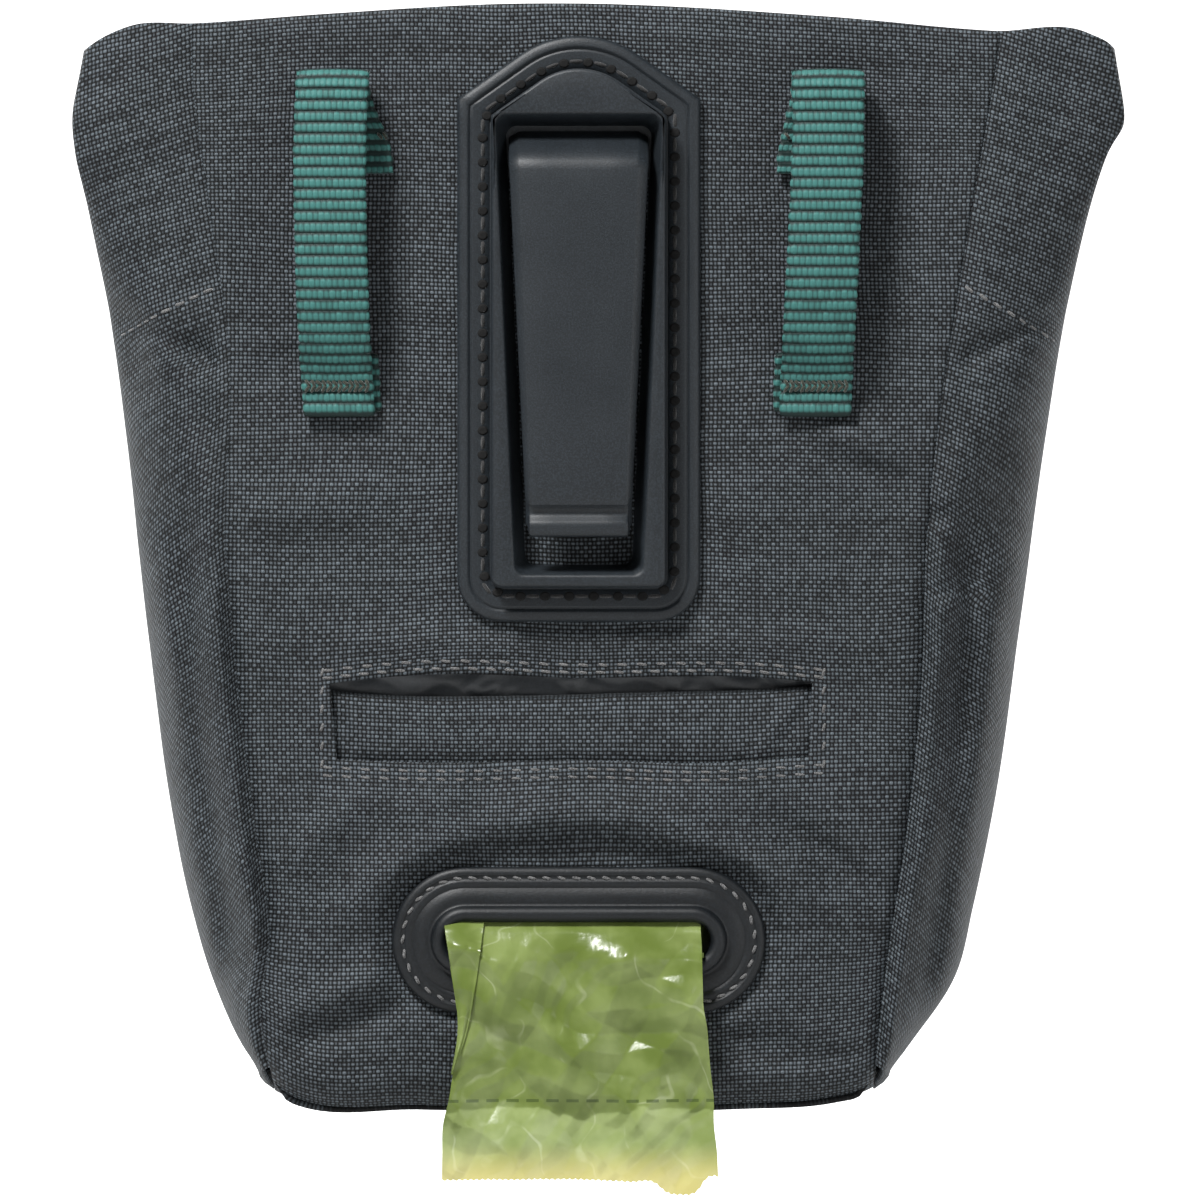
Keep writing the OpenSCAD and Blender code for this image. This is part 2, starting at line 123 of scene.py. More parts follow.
class Shader:
    """A material's node tree, with short calls for the nodes that the materials below use."""

    def __init__(self, name, roughness, metallic=0.0):
        self.material = bpy.data.materials.new(name)
        self.material.use_nodes = True
        self.tree = self.material.node_tree
        self.bsdf = self.tree.nodes["Principled BSDF"]
        self.bsdf.inputs["Roughness"].default_value = roughness
        self.bsdf.inputs["Metallic"].default_value = metallic

    def set(self, **sockets):
        for name, value in sockets.items():
            self.bsdf.inputs[name.replace("_", " ")].default_value = value

    def node(self, kind, **properties):
        made = self.tree.nodes.new(kind)
        for name, value in properties.items():
            setattr(made, name, value)
        return made

    def feed(self, socket, value):
        if isinstance(value, bpy.types.NodeSocket):
            self.tree.links.new(value, socket)
        else:
            socket.default_value = value

    def math(self, operation, a, b=0.0, c=0.0):
        made = self.node("ShaderNodeMath", operation=operation)
        for socket, value in zip(made.inputs, (a, b, c)):
            self.feed(socket, value)
        return made.outputs[0]

    def plus(self, a, b):
        return self.math("ADD", a, b)

    def minus(self, a, b):
        return self.math("SUBTRACT", a, b)

    def times(self, a, b):
        return self.math("MULTIPLY", a, b)

    def scaled(self, a, factor, offset):
        return self.math("MULTIPLY_ADD", a, factor, offset)

    def mix(self, factor, a, b):
        made = self.node("ShaderNodeMix", data_type="RGBA")
        self.feed(made.inputs[0], factor)
        self.feed(made.inputs[6], a)
        self.feed(made.inputs[7], b)
        return made.outputs[2]

    def ramp(self, value, low, high):
        made = self.node("ShaderNodeMapRange", interpolation_type="SMOOTHSTEP")
        self.feed(made.inputs["Value"], value)
        made.inputs["From Min"].default_value = low
        made.inputs["From Max"].default_value = high
        return made.outputs["Result"]

    def uv(self):
        parts = self.node("ShaderNodeSeparateXYZ")
        self.tree.links.new(self.node("ShaderNodeUVMap").outputs["UV"], parts.inputs[0])
        return parts.outputs["X"], parts.outputs["Y"]

    def point(self, x, y, z=0.0):
        made = self.node("ShaderNodeCombineXYZ")
        for socket, value in zip(made.inputs, (x, y, z)):
            self.feed(socket, value)
        return made.outputs[0]

    def where(self):
        return self.node("ShaderNodeTexCoord").outputs["Object"]

    def noise(self, vector, scale, detail=2.0, roughness=0.5):
        made = self.node("ShaderNodeTexNoise")
        self.feed(made.inputs["Vector"], vector)
        made.inputs["Scale"].default_value = scale
        made.inputs["Detail"].default_value = detail
        made.inputs["Roughness"].default_value = roughness
        return made.outputs["Fac"]

    def white(self, vector):
        made = self.node("ShaderNodeTexWhiteNoise")
        self.feed(made.inputs["Vector"], vector)
        return made.outputs["Value"]

    def bump(self, height, distance, strength=1.0):
        made = self.node("ShaderNodeBump")
        made.inputs["Strength"].default_value = strength
        made.inputs["Distance"].default_value = distance
        self.feed(made.inputs["Height"], height)
        self.feed(self.bsdf.inputs["Normal"], made.outputs[0])

    def colour(self, value):
        self.feed(self.bsdf.inputs["Base Color"], value)


def grey(level, warm=0.0):
    return (level * (1 + warm), level, level * (1 - warm), 1)


# ---- materials ----

CELLS = 4000.0          # keeps the count of weave cells above zero everywhere


def woven(name, pitch, gap, yarn, roughness=0.62, depth=0.2 * MM, weft_share=0.75):
    """Plain weave: in each cell of a grid either the weft or the warp lies on top."""
    s = Shader(name, roughness)
    s.set(Sheen_Weight=0.02, Sheen_Roughness=0.4, Specular_IOR_Level=0.16)
    u, v = s.uv()
    wander = s.times(s.minus(s.noise(s.point(u, v), 55, 1), 0.5), 1.1)
    u = s.plus(s.scaled(u, 1 / pitch, CELLS), wander)
    v = s.plus(s.scaled(v, 1 / pitch, CELLS), wander)
    column, row = s.math("FLOOR", u), s.math("FLOOR", v)
    parity = s.math("MODULO", s.plus(column, row), 2.0)
    across_u = s.math("PINGPONG", s.minus(u, column), 0.5)
    across_v = s.math("PINGPONG", s.minus(v, row), 0.5)
    round_u = s.math("SQRT", across_u)
    round_v = s.math("SQRT", across_v)
    weft = s.times(round_v, s.plus(round_u, 0.45))
    warp = s.times(round_u, s.plus(round_v, 0.45))
    weft = s.times(weft, parity)
    warp = s.times(warp, s.minus(1.0, parity))
    height = s.plus(weft, s.times(warp, weft_share))
    slub = s.scaled(s.white(s.point(0.0, row)), 0.18, 0.91)
    fleck = s.scaled(s.white(s.point(column, row)), 0.36, 0.82)
    height = s.times(height, s.times(slub, fleck))
    lit = s.ramp(height, 0.22, 0.8)
    patch = s.scaled(s.noise(s.where(), 22, 3), 0.35, 0.82)
    s.colour(s.mix(s.times(lit, patch), gap, yarn))
    s.bump(height, depth)
    return s.material


def ribbed(name, rib, cell, gap, yarn):
    """Narrow webbing: a rib of floats across it, then a sunken row of ties."""
    s = Shader(name, 0.6)
    s.set(Sheen_Weight=0.06, Sheen_Roughness=0.35, Specular_IOR_Level=0.25)
    u, v = s.uv()
    along = s.scaled(v, 1 / rib, CELLS)
    row = s.math("FLOOR", along)
    rise = s.math("PINGPONG", s.minus(along, row), 0.5)
    across = s.scaled(u, 1 / cell, CELLS)
    across = s.plus(across, s.times(s.math("MODULO", row, 2.0), 0.5))
    column = s.math("FLOOR", across)
    tuft = s.math("SQRT", s.math("PINGPONG", s.minus(across, column), 0.5))
    fleck = s.scaled(s.white(s.point(column, row)), 0.45, 0.7)
    floats = s.times(s.ramp(rise, 0.08, 0.42), s.scaled(tuft, 0.7, 0.45))
    height = s.times(floats, fleck)
    yarns = s.noise(s.point(u, s.times(v, 0.25)), 5200, 2)
    lit = s.times(s.ramp(height, 0.1, 0.8), s.scaled(yarns, 0.7, 0.65))
    s.colour(s.mix(lit, gap, yarn))
    s.bump(s.scaled(yarns, 0.3, height), 0.22 * MM)
    return s.material


def coated(name, base, painted_sheen, roughness):
    """Lining cloth: a shiny coat with soft creases over a very fine weave; its lighter tone where creases
    and weave stand up is painted sheen.
    """
    s = Shader(name, roughness)
    s.set(Specular_IOR_Level=0.35, Sheen_Weight=0.03)
    grain = s.noise(s.where(), 2600, 2)
    cloudy = s.noise(s.where(), 90, 3)
    # painted sheen: the colour lightens where the creases and the fine weave stand up
    s.colour(s.mix(s.scaled(grain, 0.5, s.minus(cloudy, 0.2)), base, painted_sheen))
    s.bump(s.scaled(grain, 0.15, cloudy), 0.12 * MM)
    return s.material


def moulded(name, base, light, roughness, grain=3600, depth=0.035 * MM):
    """Spark-textured plastic or rubber with a faint speckle and scuffed patches."""
    s = Shader(name, roughness)
    s.set(Specular_IOR_Level=0.3)
    speckle = s.noise(s.where(), grain, 2, 0.7)
    cloudy = s.noise(s.where(), 70, 3)
    tone = s.plus(s.times(s.ramp(speckle, 0.4, 0.68), 0.75),
                  s.times(cloudy, 0.35))
    s.colour(s.mix(tone, base, light))
    s.feed(s.bsdf.inputs["Roughness"], s.scaled(cloudy, 0.2, roughness - 0.1))
    s.bump(speckle, depth)
    return s.material


def thread(name, base, light):
    """Twisted sewing thread with a little fuzz."""
    s = Shader(name, 0.7)
    s.set(Sheen_Weight=0.3, Specular_IOR_Level=0.25)
    twist = s.noise(s.where(), 6500, 2)
    s.colour(s.mix(s.ramp(twist, 0.35, 0.65), base, light))
    s.bump(twist, 0.06 * MM)
    return s.material


def film_material(name, tear_line):
    """Thin translucent film; a dashed tear line stands where a printed one would be."""
    s = Shader(name, 0.24)
    s.set(Transmission_Weight=0.22, IOR=1.3, Specular_IOR_Level=0.6)
    cloudy = s.noise(s.where(), 130, 3)
    leaf = s.mix(s.ramp(cloudy, 0.35, 0.7), (0.105, 0.145, 0.030, 1), (0.180, 0.230, 0.072, 1))
    # painted highlight: thin pale streaks across the film, standing in for light caught on its creases
    streak_ridge = s.math("ABSOLUTE", s.minus(s.noise(s.where(), 75, 2, 0.4), 0.5))
    painted_highlight_streaks = s.times(s.ramp(streak_ridge, 0.012, 0.002), s.ramp(cloudy, 0.45, 0.62))
    leaf = s.mix(s.times(painted_highlight_streaks, 0.2), leaf, (0.52, 0.56, 0.38, 1))
    if tear_line:
        u, v = s.uv()
        low = s.ramp(v, -157 * MM, -165 * MM)
        line = s.math("COMPARE", v, tear_line, 0.25 * MM)
        dash = s.math("GREATER_THAN", s.math("FRACT", s.times(u, 1 / (3.2 * MM))), 0.38)
        mark = s.times(s.times(line, dash), 0.75)
        leaf = s.mix(mark, leaf, (0.05, 0.075, 0.02, 1))
        # painted light: below the pouch the film turns a paler cream, as the backdrop shining through it
        leaf = s.mix(s.times(low, 0.7), leaf, (0.50, 0.42, 0.14, 1))
    s.colour(leaf)
    s.bump(s.noise(s.where(), 300, 3, 0.6), 0.1 * MM)
    return s.material


def grained(name, base, light, roughness, scale, grain_roughness, depth, metallic=0.0):
    """Worn metal or raw card: one fine grain both tints and dents the surface."""
    s = Shader(name, roughness, metallic)
    grain = s.noise(s.where(), scale, 4, grain_roughness)
    s.colour(s.mix(grain, base, light))
    s.bump(grain, depth)
    return s.material


SHELL = woven("shell_weave", 0.67 * MM, grey(0.002, -0.1), (0.084, 0.100, 0.113, 1))
LINING = coated("lining_cloth", grey(0.012, -0.1), grey(0.055, -0.1), 0.46)
WEBBING = ribbed("green_webbing", 1.76 * MM, 0.92 * MM, (0.002, 0.011, 0.010, 1),
                 (0.030, 0.118, 0.108, 1))
BINDING = woven("green_binding", 0.5 * MM, (0.006, 0.028, 0.024, 1), (0.06, 0.22, 0.19, 1))
TAPE = moulded("zip_tape_cloth", grey(0.006), grey(0.04), 0.75, 2400, 0.1 * MM)
PLASTIC = moulded("clip_moulding", grey(0.006, -0.25), grey(0.018, -0.25), 0.5)
RUBBER = moulded("grommet_rubber_skin", grey(0.002, -0.3), grey(0.007, -0.3), 0.5, 2600)
THREAD_GREY = thread("grey_thread", grey(0.02), grey(0.14))
THREAD_DARK = thread("dark_thread", grey(0.004), grey(0.02))
THREAD_TACK = thread("tack_thread", (0.003, 0.005, 0.003, 1), (0.024, 0.028, 0.016, 1))
# painted shade: near-black colour for the needle holes' dark insides
HOLE_SHADE = moulded("needle_hole_shade", grey(0.001), grey(0.003), 0.9)
FILM = film_material("leading_bag_film", -150.9 * MM)
ROLLED = film_material("rolled_film", 0)
STEEL = grained("dark_plated_steel", grey(0.16), grey(0.3), 0.32, 800, 0.6, 0.02 * MM, 1.0)
COIL = moulded("coil_nylon", grey(0.012), grey(0.035), 0.3)
CARD = grained("core_board_card", (0.30, 0.21, 0.12, 1), (0.47, 0.35, 0.21, 1), 0.85, 1400, 0.7,
               0.08 * MM)
BOARD = moulded("sheet_board", grey(0.01), grey(0.03), 0.6)
PLATED = grained("plated_magnet", grey(0.5), grey(0.7), 0.25, 800, 0.6, 0.02 * MM, 1.0)

# ---- mesh helpers ----


def mesh_piece(name, points, faces, material, uvs=None):
    """A smooth mesh object from points and faces, and one (u, v) a point; all in millimetres."""
    points = np.asarray(points, dtype=float) * MM
    mesh = bpy.data.meshes.new(name)
    mesh.from_pydata(points.tolist(), [], [list(map(int, face)) for face in faces])
    if uvs is not None:
        corners = np.empty(len(mesh.loops), dtype=np.int32)
        mesh.loops.foreach_get("vertex_index", corners)
        layer = mesh.uv_layers.new(name="UVMap")
        layer.data.foreach_set("uv", (np.asarray(uvs) * MM)[corners].ravel())
    mesh.polygons.foreach_set("use_smooth", [True] * len(mesh.polygons))
    mesh.materials.append(material)
    piece = bpy.data.objects.new(name, mesh)
    bpy.context.scene.collection.objects.link(piece)
    return piece


def levels(stops, step):
    """Values through all the stops, with even steps of about step between them."""
    values = [np.array([stops[0]])]
    for a, b in zip(stops, stops[1:]):
        count = max(1, round(abs((b - a) / step)))
        values.append(np.linspace(a, b, count + 1)[1:])
    return np.concatenate(values)


def sheet_piece(name, us, vs, at, material, uv=None, skip=None, closed=False, flip=False):
    """A grid over us and vs. at(U, V) gives x, y, z; skip(U, V) marks cells to leave out."""
    grid_u, grid_v = np.meshgrid(us, vs)
    points = np.stack([np.broadcast_to(c, grid_u.shape) for c in at(grid_u, grid_v)], -1)
    flat_uv = (grid_u, grid_v) if uv is None else uv(grid_u, grid_v)
    uvs = np.stack([np.broadcast_to(c, grid_u.shape) for c in flat_uv], -1)
    index = np.arange(grid_u.size).reshape(grid_u.shape)
    if closed:
        index = np.concatenate([index, index[:, :1]], 1)
    corners = [index[:-1, :-1], index[:-1, 1:], index[1:, 1:], index[1:, :-1]]
    faces = np.stack(corners, -1)
    keep = np.ones(faces.shape[:2], dtype=bool)
    if skip:
        middle_u = (grid_u[:-1, :-1] + grid_u[1:, 1:]) / 2
        middle_v = (grid_v[:-1, :-1] + grid_v[1:, 1:]) / 2
        keep = ~skip(middle_u, middle_v)
    faces = faces[keep]
    if flip:
        faces = faces[:, ::-1]
    used = np.unique(faces)
    renumber = np.zeros(grid_u.size, dtype=int)
    renumber[used] = np.arange(len(used))
    points = points.reshape(-1, 3)[used]
    return mesh_piece(name, points, renumber[faces], material, uvs.reshape(-1, 2)[used])


def tube_faces(first, rings, sides, caps=True):
    """Faces of a tube whose points are numbered ring by ring, from first on."""
    faces = []
    for low in range(first, first + (rings - 1) * sides, sides):
        for i in range(sides):
            n = (i + 1) % sides
            faces.append((low + i, low + n, low + sides + n, low + sides + i))
    if caps:
        faces.append(tuple(range(first, first + sides))[::-1])
        last = first + (rings - 1) * sides
        faces.append(tuple(range(last, last + sides)))
    return faces


def loft_piece(name, rings, material, caps=False):
    """A skin through closed rings that all have the same number of points."""
    points = np.concatenate([np.asarray(ring) for ring in rings])
    faces = tube_faces(0, len(rings), len(rings[0]), caps)
    uvs = np.stack([points[:, 0], points[:, 2]], -1)
    piece = mesh_piece(name, points, faces, material, uvs)
    outward(piece)
    return piece


def outward(piece):
    """Turns all of a piece's faces to point out of it."""
    bpy.ops.object.select_all(action="DESELECT")
    piece.select_set(True)
    bpy.context.view_layer.objects.active = piece
    bpy.ops.object.mode_set(mode="EDIT")
    bpy.ops.mesh.select_all(action="SELECT")
    bpy.ops.mesh.normals_make_consistent(inside=False)
    bpy.ops.object.mode_set(mode="OBJECT")


def placed(piece, body, slot, *nodes):
    """Fixes a piece to a body and lets it stand for CAD nodes, which it hides."""
    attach(piece, body)
    if nodes:
        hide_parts(*nodes)


def thicken(piece, thickness, offset=0.0):
    """Gives a sheet its thickness; offset 1 grows it along its normals, -1 against them."""
    solid = piece.modifiers.new("thickness", "SOLIDIFY")
    solid.thickness = thickness * MM
    solid.offset = offset
    return piece


def bevelled(piece, width, segments=3, angle=35):
    bevel = piece.modifiers.new("edges", "BEVEL")
    bevel.width = width * MM
    bevel.segments = segments
    bevel.limit_method = "ANGLE"
    bevel.angle_limit = math.radians(angle)
    return piece


def apply_modifiers(piece):
    """Turns the piece's modifiers into its mesh."""
    if piece.modifiers:
        graph = bpy.context.evaluated_depsgraph_get()
        made = bpy.data.meshes.new_from_object(piece.evaluated_get(graph))
        piece.modifiers.clear()
        piece.data = made
    return piece


def joined(name, pieces):
    """One piece out of several, under a new name."""
    for piece in pieces:
        apply_modifiers(piece)
    bpy.ops.object.select_all(action="DESELECT")
    for piece in pieces:
        piece.select_set(True)
    bpy.context.view_layer.objects.active = pieces[0]
    bpy.ops.object.join()
    pieces[0].name = name
    pieces[0].data.name = name
    return pieces[0]


def ease(t):
    t = np.clip(t, 0, 1)
    return t * t * (3 - 2 * t)


def curve_through(stops):
    """A smooth function through (position, value) stops."""
    xs = np.array([s[0] for s in stops], dtype=float)
    ys = np.array([s[1] for s in stops], dtype=float)
    slopes = np.gradient(ys, xs)

    def value(x):
        x = np.clip(x, xs[0], xs[-1])
        i = np.clip(np.searchsorted(xs, x) - 1, 0, len(xs) - 2)
        h = xs[i + 1] - xs[i]
        t = (x - xs[i]) / h
        return (
            (1 + 2 * t) * (1 - t) ** 2 * ys[i] + t * (1 - t) ** 2 * h * slopes[i]
            + t * t * (3 - 2 * t) * ys[i + 1] + t * t * (t - 1) * h * slopes[i + 1]
        )

    return value


LATTICE = 64


def ripple(x, z, seed, size):
    """Smooth noise between -1 and 1 whose bumps are about size across."""
    table = np.random.default_rng(seed).uniform(-1, 1, (LATTICE, LATTICE))
    fx, fz = x / size + LATTICE / 2, z / size + LATTICE / 2
    i, j = np.floor(fx).astype(int), np.floor(fz).astype(int)
    a, b = ease(fx - i), ease(fz - j)
    i, j, n, m = i % LATTICE, j % LATTICE, (i + 1) % LATTICE, (j + 1) % LATTICE
    low = table[i, j] * (1 - a) + table[n, j] * a
    high = table[i, m] * (1 - a) + table[n, m] * a
    return low * (1 - b) + high * b


def bell(distance, width):
    return np.exp(-((distance / width) ** 2))


def hump(x, z, cx, cz, rx, rz, turn=0.0):
    """A soft hump of height 1 at (cx, cz), turned by turn degrees."""
    c, s = math.cos(math.radians(turn)), math.sin(math.radians(turn))
    dx, dz = x - cx, z - cz
    a = (c * dx + s * dz) / rx
    b = (-s * dx + c * dz) / rz
    return np.exp(-(a * a + b * b))


def walk(path, pitch):
    """Points and directions along a path of points, one each pitch."""
    path = np.asarray(path, dtype=float)
    steps = np.linalg.norm(np.diff(path, axis=0), axis=1)
    length = np.concatenate([[0], np.cumsum(steps)])
    count = max(1, int(length[-1] / pitch))
    at = (np.arange(count) + 0.5) * length[-1] / count

    def place(s):
        return np.stack([np.interp(s, length, path[:, k]) for k in range(3)], -1)

    middle = place(at)
    ahead = place(at + 0.2 * pitch) - place(at - 0.2 * pitch)
    return middle, ahead / np.linalg.norm(ahead, axis=1, keepdims=True)


STITCH_RINGS = 7
STITCH_SIDES = 7
WEARER = np.array((0.0, -1.0, 0.0))          # the way from the cloth to the wearer


def stitches(name, path, pitch, length, radius, material, slant=0.0, sink=0.6):
    """Short bowed threads along a path, one each pitch, that dip into the cloth at their ends."""
    middles, aheads = walk(path, pitch)
    points, faces = [], []
    for number, (middle, ahead) in enumerate(zip(middles, aheads)):
        side = np.cross(ahead, WEARER)
        turn = slant * (1 + 0.25 * math.sin(number * 2.4))
        direction = ahead * math.cos(turn) + side * math.sin(turn)
        across = np.cross(direction, WEARER)
        base = len(points)
        for k in range(STITCH_RINGS):
            t = 2 * k / (STITCH_RINGS - 1) - 1
            thick = radius * math.sqrt(max(0.02, 1 - t ** 6))
            centre = middle + direction * t * length / 2 - WEARER * (t * t) * radius * 2 * sink
            for i in range(STITCH_SIDES):
                a = 2 * math.pi * i / STITCH_SIDES
                points.append(centre + (WEARER * math.cos(a) + across * math.sin(a)) * thick)
        faces += tube_faces(base, STITCH_RINGS, STITCH_SIDES)
    return mesh_piece(name, points, faces, material)


# ---- the pouch's outline ----


def box_of(node):
    """A CAD node's lowest and highest corners, in millimetres."""
    return [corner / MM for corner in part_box(node)]


back_low, back_high = box_of("back_panel")
front_high = box_of("front_panel")[1]
base_low = box_of("bottom_panel")[0]
grommet_low, grommet_high = box_of("dispenser_grommet")
grommet_mid = (grommet_low + grommet_high) / 2
grommet_half = (grommet_high - grommet_low) / 2
flange_low, flange_high = box_of("clip_base")
RIM = back_high.z
BASE = base_low.z
BACK_Y = back_low.y
RIM_FRONT = BACK_Y + 7.2
KNEE = RIM - 22            # where the flat rim turns into the belly
BELLY = -107
BELLY_Y = front_high.y
DEEP = -149                # height of the seams at the base
CLOTH = 0.9
SINK = 0.75                # how far the back panel's cloth can give way inwards


def front_y(z):
    """Depth of the front panel's outer face at height z."""
    slope = RIM_FRONT + (BELLY_Y - RIM_FRONT) * np.sin(
        np.pi / 2 * np.clip((KNEE - z) / (KNEE - BELLY), 0, 1))
    return slope - 2 * (np.maximum(BELLY - z, 0) / (BELLY - DEEP)) ** 2


def front_seam_x(z):
    """Half the front panel's width at height z."""
    return 49 + 14 * (z - BASE) / (RIM - BASE)


# Where the back panel's side seams run, as (height, x): the right one leans out more
seam_of = {
    -1: curve_through([(-153, -49.0), (-140, -51.2), (-125, -49.8), (-108, -52.0), (-84, -55.0),
                       (-60, -56.8), (-33, -56.0), (-8, -59.2), (12, -61.7), (26, -62.2)]),
    1: curve_through([(-153, 47.5), (-140, 48.6), (-125, 50.3), (-108, 52.8), (-84, 55.2),
                      (-60, 56.0), (-38, 58.2), (-22, 60.7), (-5, 63.4), (26, 67.9)]),
}
# How far out each gusset's fold reaches, as (height, x)
fold_of = {
    -1: curve_through([(-153, -50.5), (-149, -51.8), (-144, -54.6), (-132, -59.6), (-121, -62.8),
                       (-104, -66.2), (-76, -69.8), (-43, -73.2), (-29, -74.9), (-24, -75.6),
                       (-9, -78.4), (5, -80.6), (14, -81.0), (26, -79.0)]),
    1: curve_through([(-153, 48.5), (-149, 50.4), (-144, 53.6), (-132, 61.0), (-121, 63.8),
                      (-104, 67.3), (-76, 71.2), (-43, 75.5), (-26, 78.0), (-9, 81.5),
                      (2, 84.2), (13, 87.2), (26, 85.5)]),
}
# Height of the rim and of the base's edge, as (x, height)
rim_height = curve_through([(-81, 16.6), (-77, 19.3), (-72, 21.4), (-62, 21.8), (-40, 23.4),
                            (-8, 25.0), (0, 25.0), (40, 22.9), (67, 20.6), (82, 20.2),
                            (86, 18.0), (88, 15.5)])
base_height = curve_through([(-54, -147.0), (-50, -149.4), (-45, -151.7), (-25, -152.7),
                             (0, -153.0), (25, -152.4), (40, -151.4), (47, -149.6), (52, -146.5)])


def rim_shift(x, level):
    """How far the rim's own curve moves a level at x."""
    return (rim_height(x) - RIM) * ease((level + 12) / 37)


def base_shift(x, level):
    """How far the base's own curve moves a level at x."""
    return (base_height(x) - BASE) * ease((-118 - level) / 32)


def shaped_height(x, level):
    return level + rim_shift(x, level) + base_shift(x, level)


def in_clip(x, z):
    """1 under the clip's base and 0 away from it, so that the cloth lies flat there."""
    inside_x = ease((21.5 - np.abs(x)) / 3)
    return inside_x * ease((z - flange_low.z + 4) / 4) * ease((flange_high.z + 4 - z) / 4)


def in_grommet(x, z):
    """1 under the grommet and 0 away from it."""
    beside = np.maximum(0, np.abs(x - grommet_mid.x) - grommet_half.x + grommet_half.z)
    return ease(1 - (np.hypot(beside, z - grommet_mid.z) - grommet_half.z) / 4)


# Folds and dents of the back panel: height, then middle, half sizes and turn
BACK_FOLDS = (
    (1.8, 46, -46, 10, 3, -24), (-1.3, 50, -52, 9, 2.2, -24), (1.1, -44, -56, 14, 4, 8),
    (-1.0, -47, -33, 12, 2.4, 12), (-1.7, 40, -112, 15, 2.2, -38), (1.4, 36, -117, 13, 2.6, -38),
    (-1.7, -38, -139, 15, 2.4, 20), (1.5, -36, -133, 14, 2.6, 20), (-1.8, 31, -143, 18, 2.4, -10),
    (1.4, -41, -108, 10, 3, 40), (1.0, 3, -78, 40, 3.2), (0.9, 0, -104, 42, 3.4),
)


def back_relief(x, z):
    """How far the back panel's cloth stands towards the wearer at (x, z)."""
    lift = 0.5 * ripple(x, z, 1, 27) + 0.26 * ripple(x * 0.6, z, 2, 8)
    lift = lift + 0.17 * ripple(x, z, 9, 4.5) * ease((-58 - z) / 20)
    # the roll of bags pushes the cloth out around the dispenser, with an arched fold above it
    lift += 3.2 * hump(x, z, 1, -121, 46, 22)
    radius = np.hypot((x + 1) / 1.5, z + 131)
    arch = bell(radius - 25.5, 2.6) * ease((z + 128) / 14)
    valley = bell(radius - 20, 2.6) * ease((z + 124) / 12)
    lift += 1.0 * arch - 2.6 * valley
    for height, *where in BACK_FOLDS:
        lift += height * hump(x, z, *where)
    gathers = np.sin(x / 5.1 + 3.6 * ripple(x, z, 4, 30))
    lift += 0.5 * gathers * hump(x, z, 0, -104, 44, 7)
    lift *= (1 - in_clip(x, z)) * (1 - in_grommet(x, z))
    # the pocket and the stiffener behind it stop the cloth from sinking far
    return np.where(lift < 0, -SINK * np.tanh(-lift / SINK), lift)


SLIT_LEFT, SLIT_RIGHT = -39.4, 37.2
SLIT_UPPER, SLIT_LOWER = -84.0, -96.4
slit_upper_edge = curve_through([(-42, -84.4), (-37, -83.8), (-25, -82.8), (0, -83.3), (30, -83.3),
                                 (37, -83.9), (40, -84.2)])
slit_lower_edge = curve_through([(-42, -96.2), (-34, -96.6), (-20, -96.9), (0, -96.5), (20, -97.0),
                                 (34, -96.2), (40, -95.8)])


def warped(x, z):
    """Shifts heights near the slit so that two grid lines follow its edges."""
    upper = slit_upper_edge(x) - SLIT_UPPER
    lower = slit_lower_edge(x) - SLIT_LOWER
    return z + upper * bell(z - SLIT_UPPER, 5) + lower * bell(z - SLIT_LOWER, 5)


BEND = 6                   # radius of the fold from the back panel into the base


def seam_depth(side_gap, z):
    """How far a side seam pulls the cloth in, side_gap away from it: least near the rim."""
    deep = 0.12 + 1.5 * ease((-36 - z) / 45)
    return deep * np.exp(-((np.abs(side_gap) / 1.3) ** 1.5))


def back_at(share, level):
    """The back panel's outer face: share runs -1 to 1 across, level falls from the rim."""
    z_flat = np.maximum(level, BASE)
    left, right = seam_of[-1](z_flat), seam_of[1](z_flat)
    x = (left + right) / 2 + share * (right - left) / 2
    edge = np.minimum(x - left, right - x)
    z = warped(x, shaped_height(x, level))
    fold_z = base_height(x) + BEND
    turn = np.clip((fold_z - z) / BEND, 0, np.pi / 2)
    relief = back_relief(x, z) * ease(edge / 7) * ease((level - BASE) / 6)
    z = np.where(turn > 0, fold_z - BEND * np.sin(turn), z)
    y = BACK_Y - relief + seam_depth(edge, z) + BEND * (1 - np.cos(turn))
    # the rim rolls over its own edge
    top = np.clip((level - RIM + 1.1) / 1.1, 0, 1)
    y = y + 0.5 * top ** 2
    return x, y, z


def share_at(x, level):
    left, right = float(seam_of[-1](level)), float(seam_of[1](level))
    return (x - (left + right) / 2) / ((right - left) / 2)


def make_back_panel():
    """The back's cloth, with the slit and the dispenser's hole left out of its grid."""
    ends = [share_at(SLIT_LEFT, -90), share_at(SLIT_RIGHT, -90)]
    shares = levels([-1, -0.9, ends[0], ends[1], 0.9, 1], 0.0125)
    shares = np.unique(np.concatenate([shares, [-0.99, -0.98, -0.97, 0.97, 0.98, 0.99]]))
    rows = levels([RIM, RIM - 2, SLIT_UPPER, SLIT_LOWER, BASE, BASE - 5], -0.85)

    def opening(share, level):
        slit = (share > ends[0]) & (share < ends[1]) & (level < SLIT_UPPER) & (level > SLIT_LOWER)
        return slit | ((np.abs(share) < 0.42) & (np.abs(level - grommet_mid.z) < 4))

    def cloth_uv(share, level):
        x, _, z = back_at(share, level)
        drift = 1.0 * ripple(x, z, 5, 40) + 0.5 * ripple(x, z, 6, 15)
        return x + drift * 0.6, level + drift

    panel = sheet_piece("back_panel_cloth", shares, rows, back_at, SHELL, cloth_uv, opening)
    thicken(panel, CLOTH, 1)
    placed(panel, BACK, "shell_fabric", "back_panel")


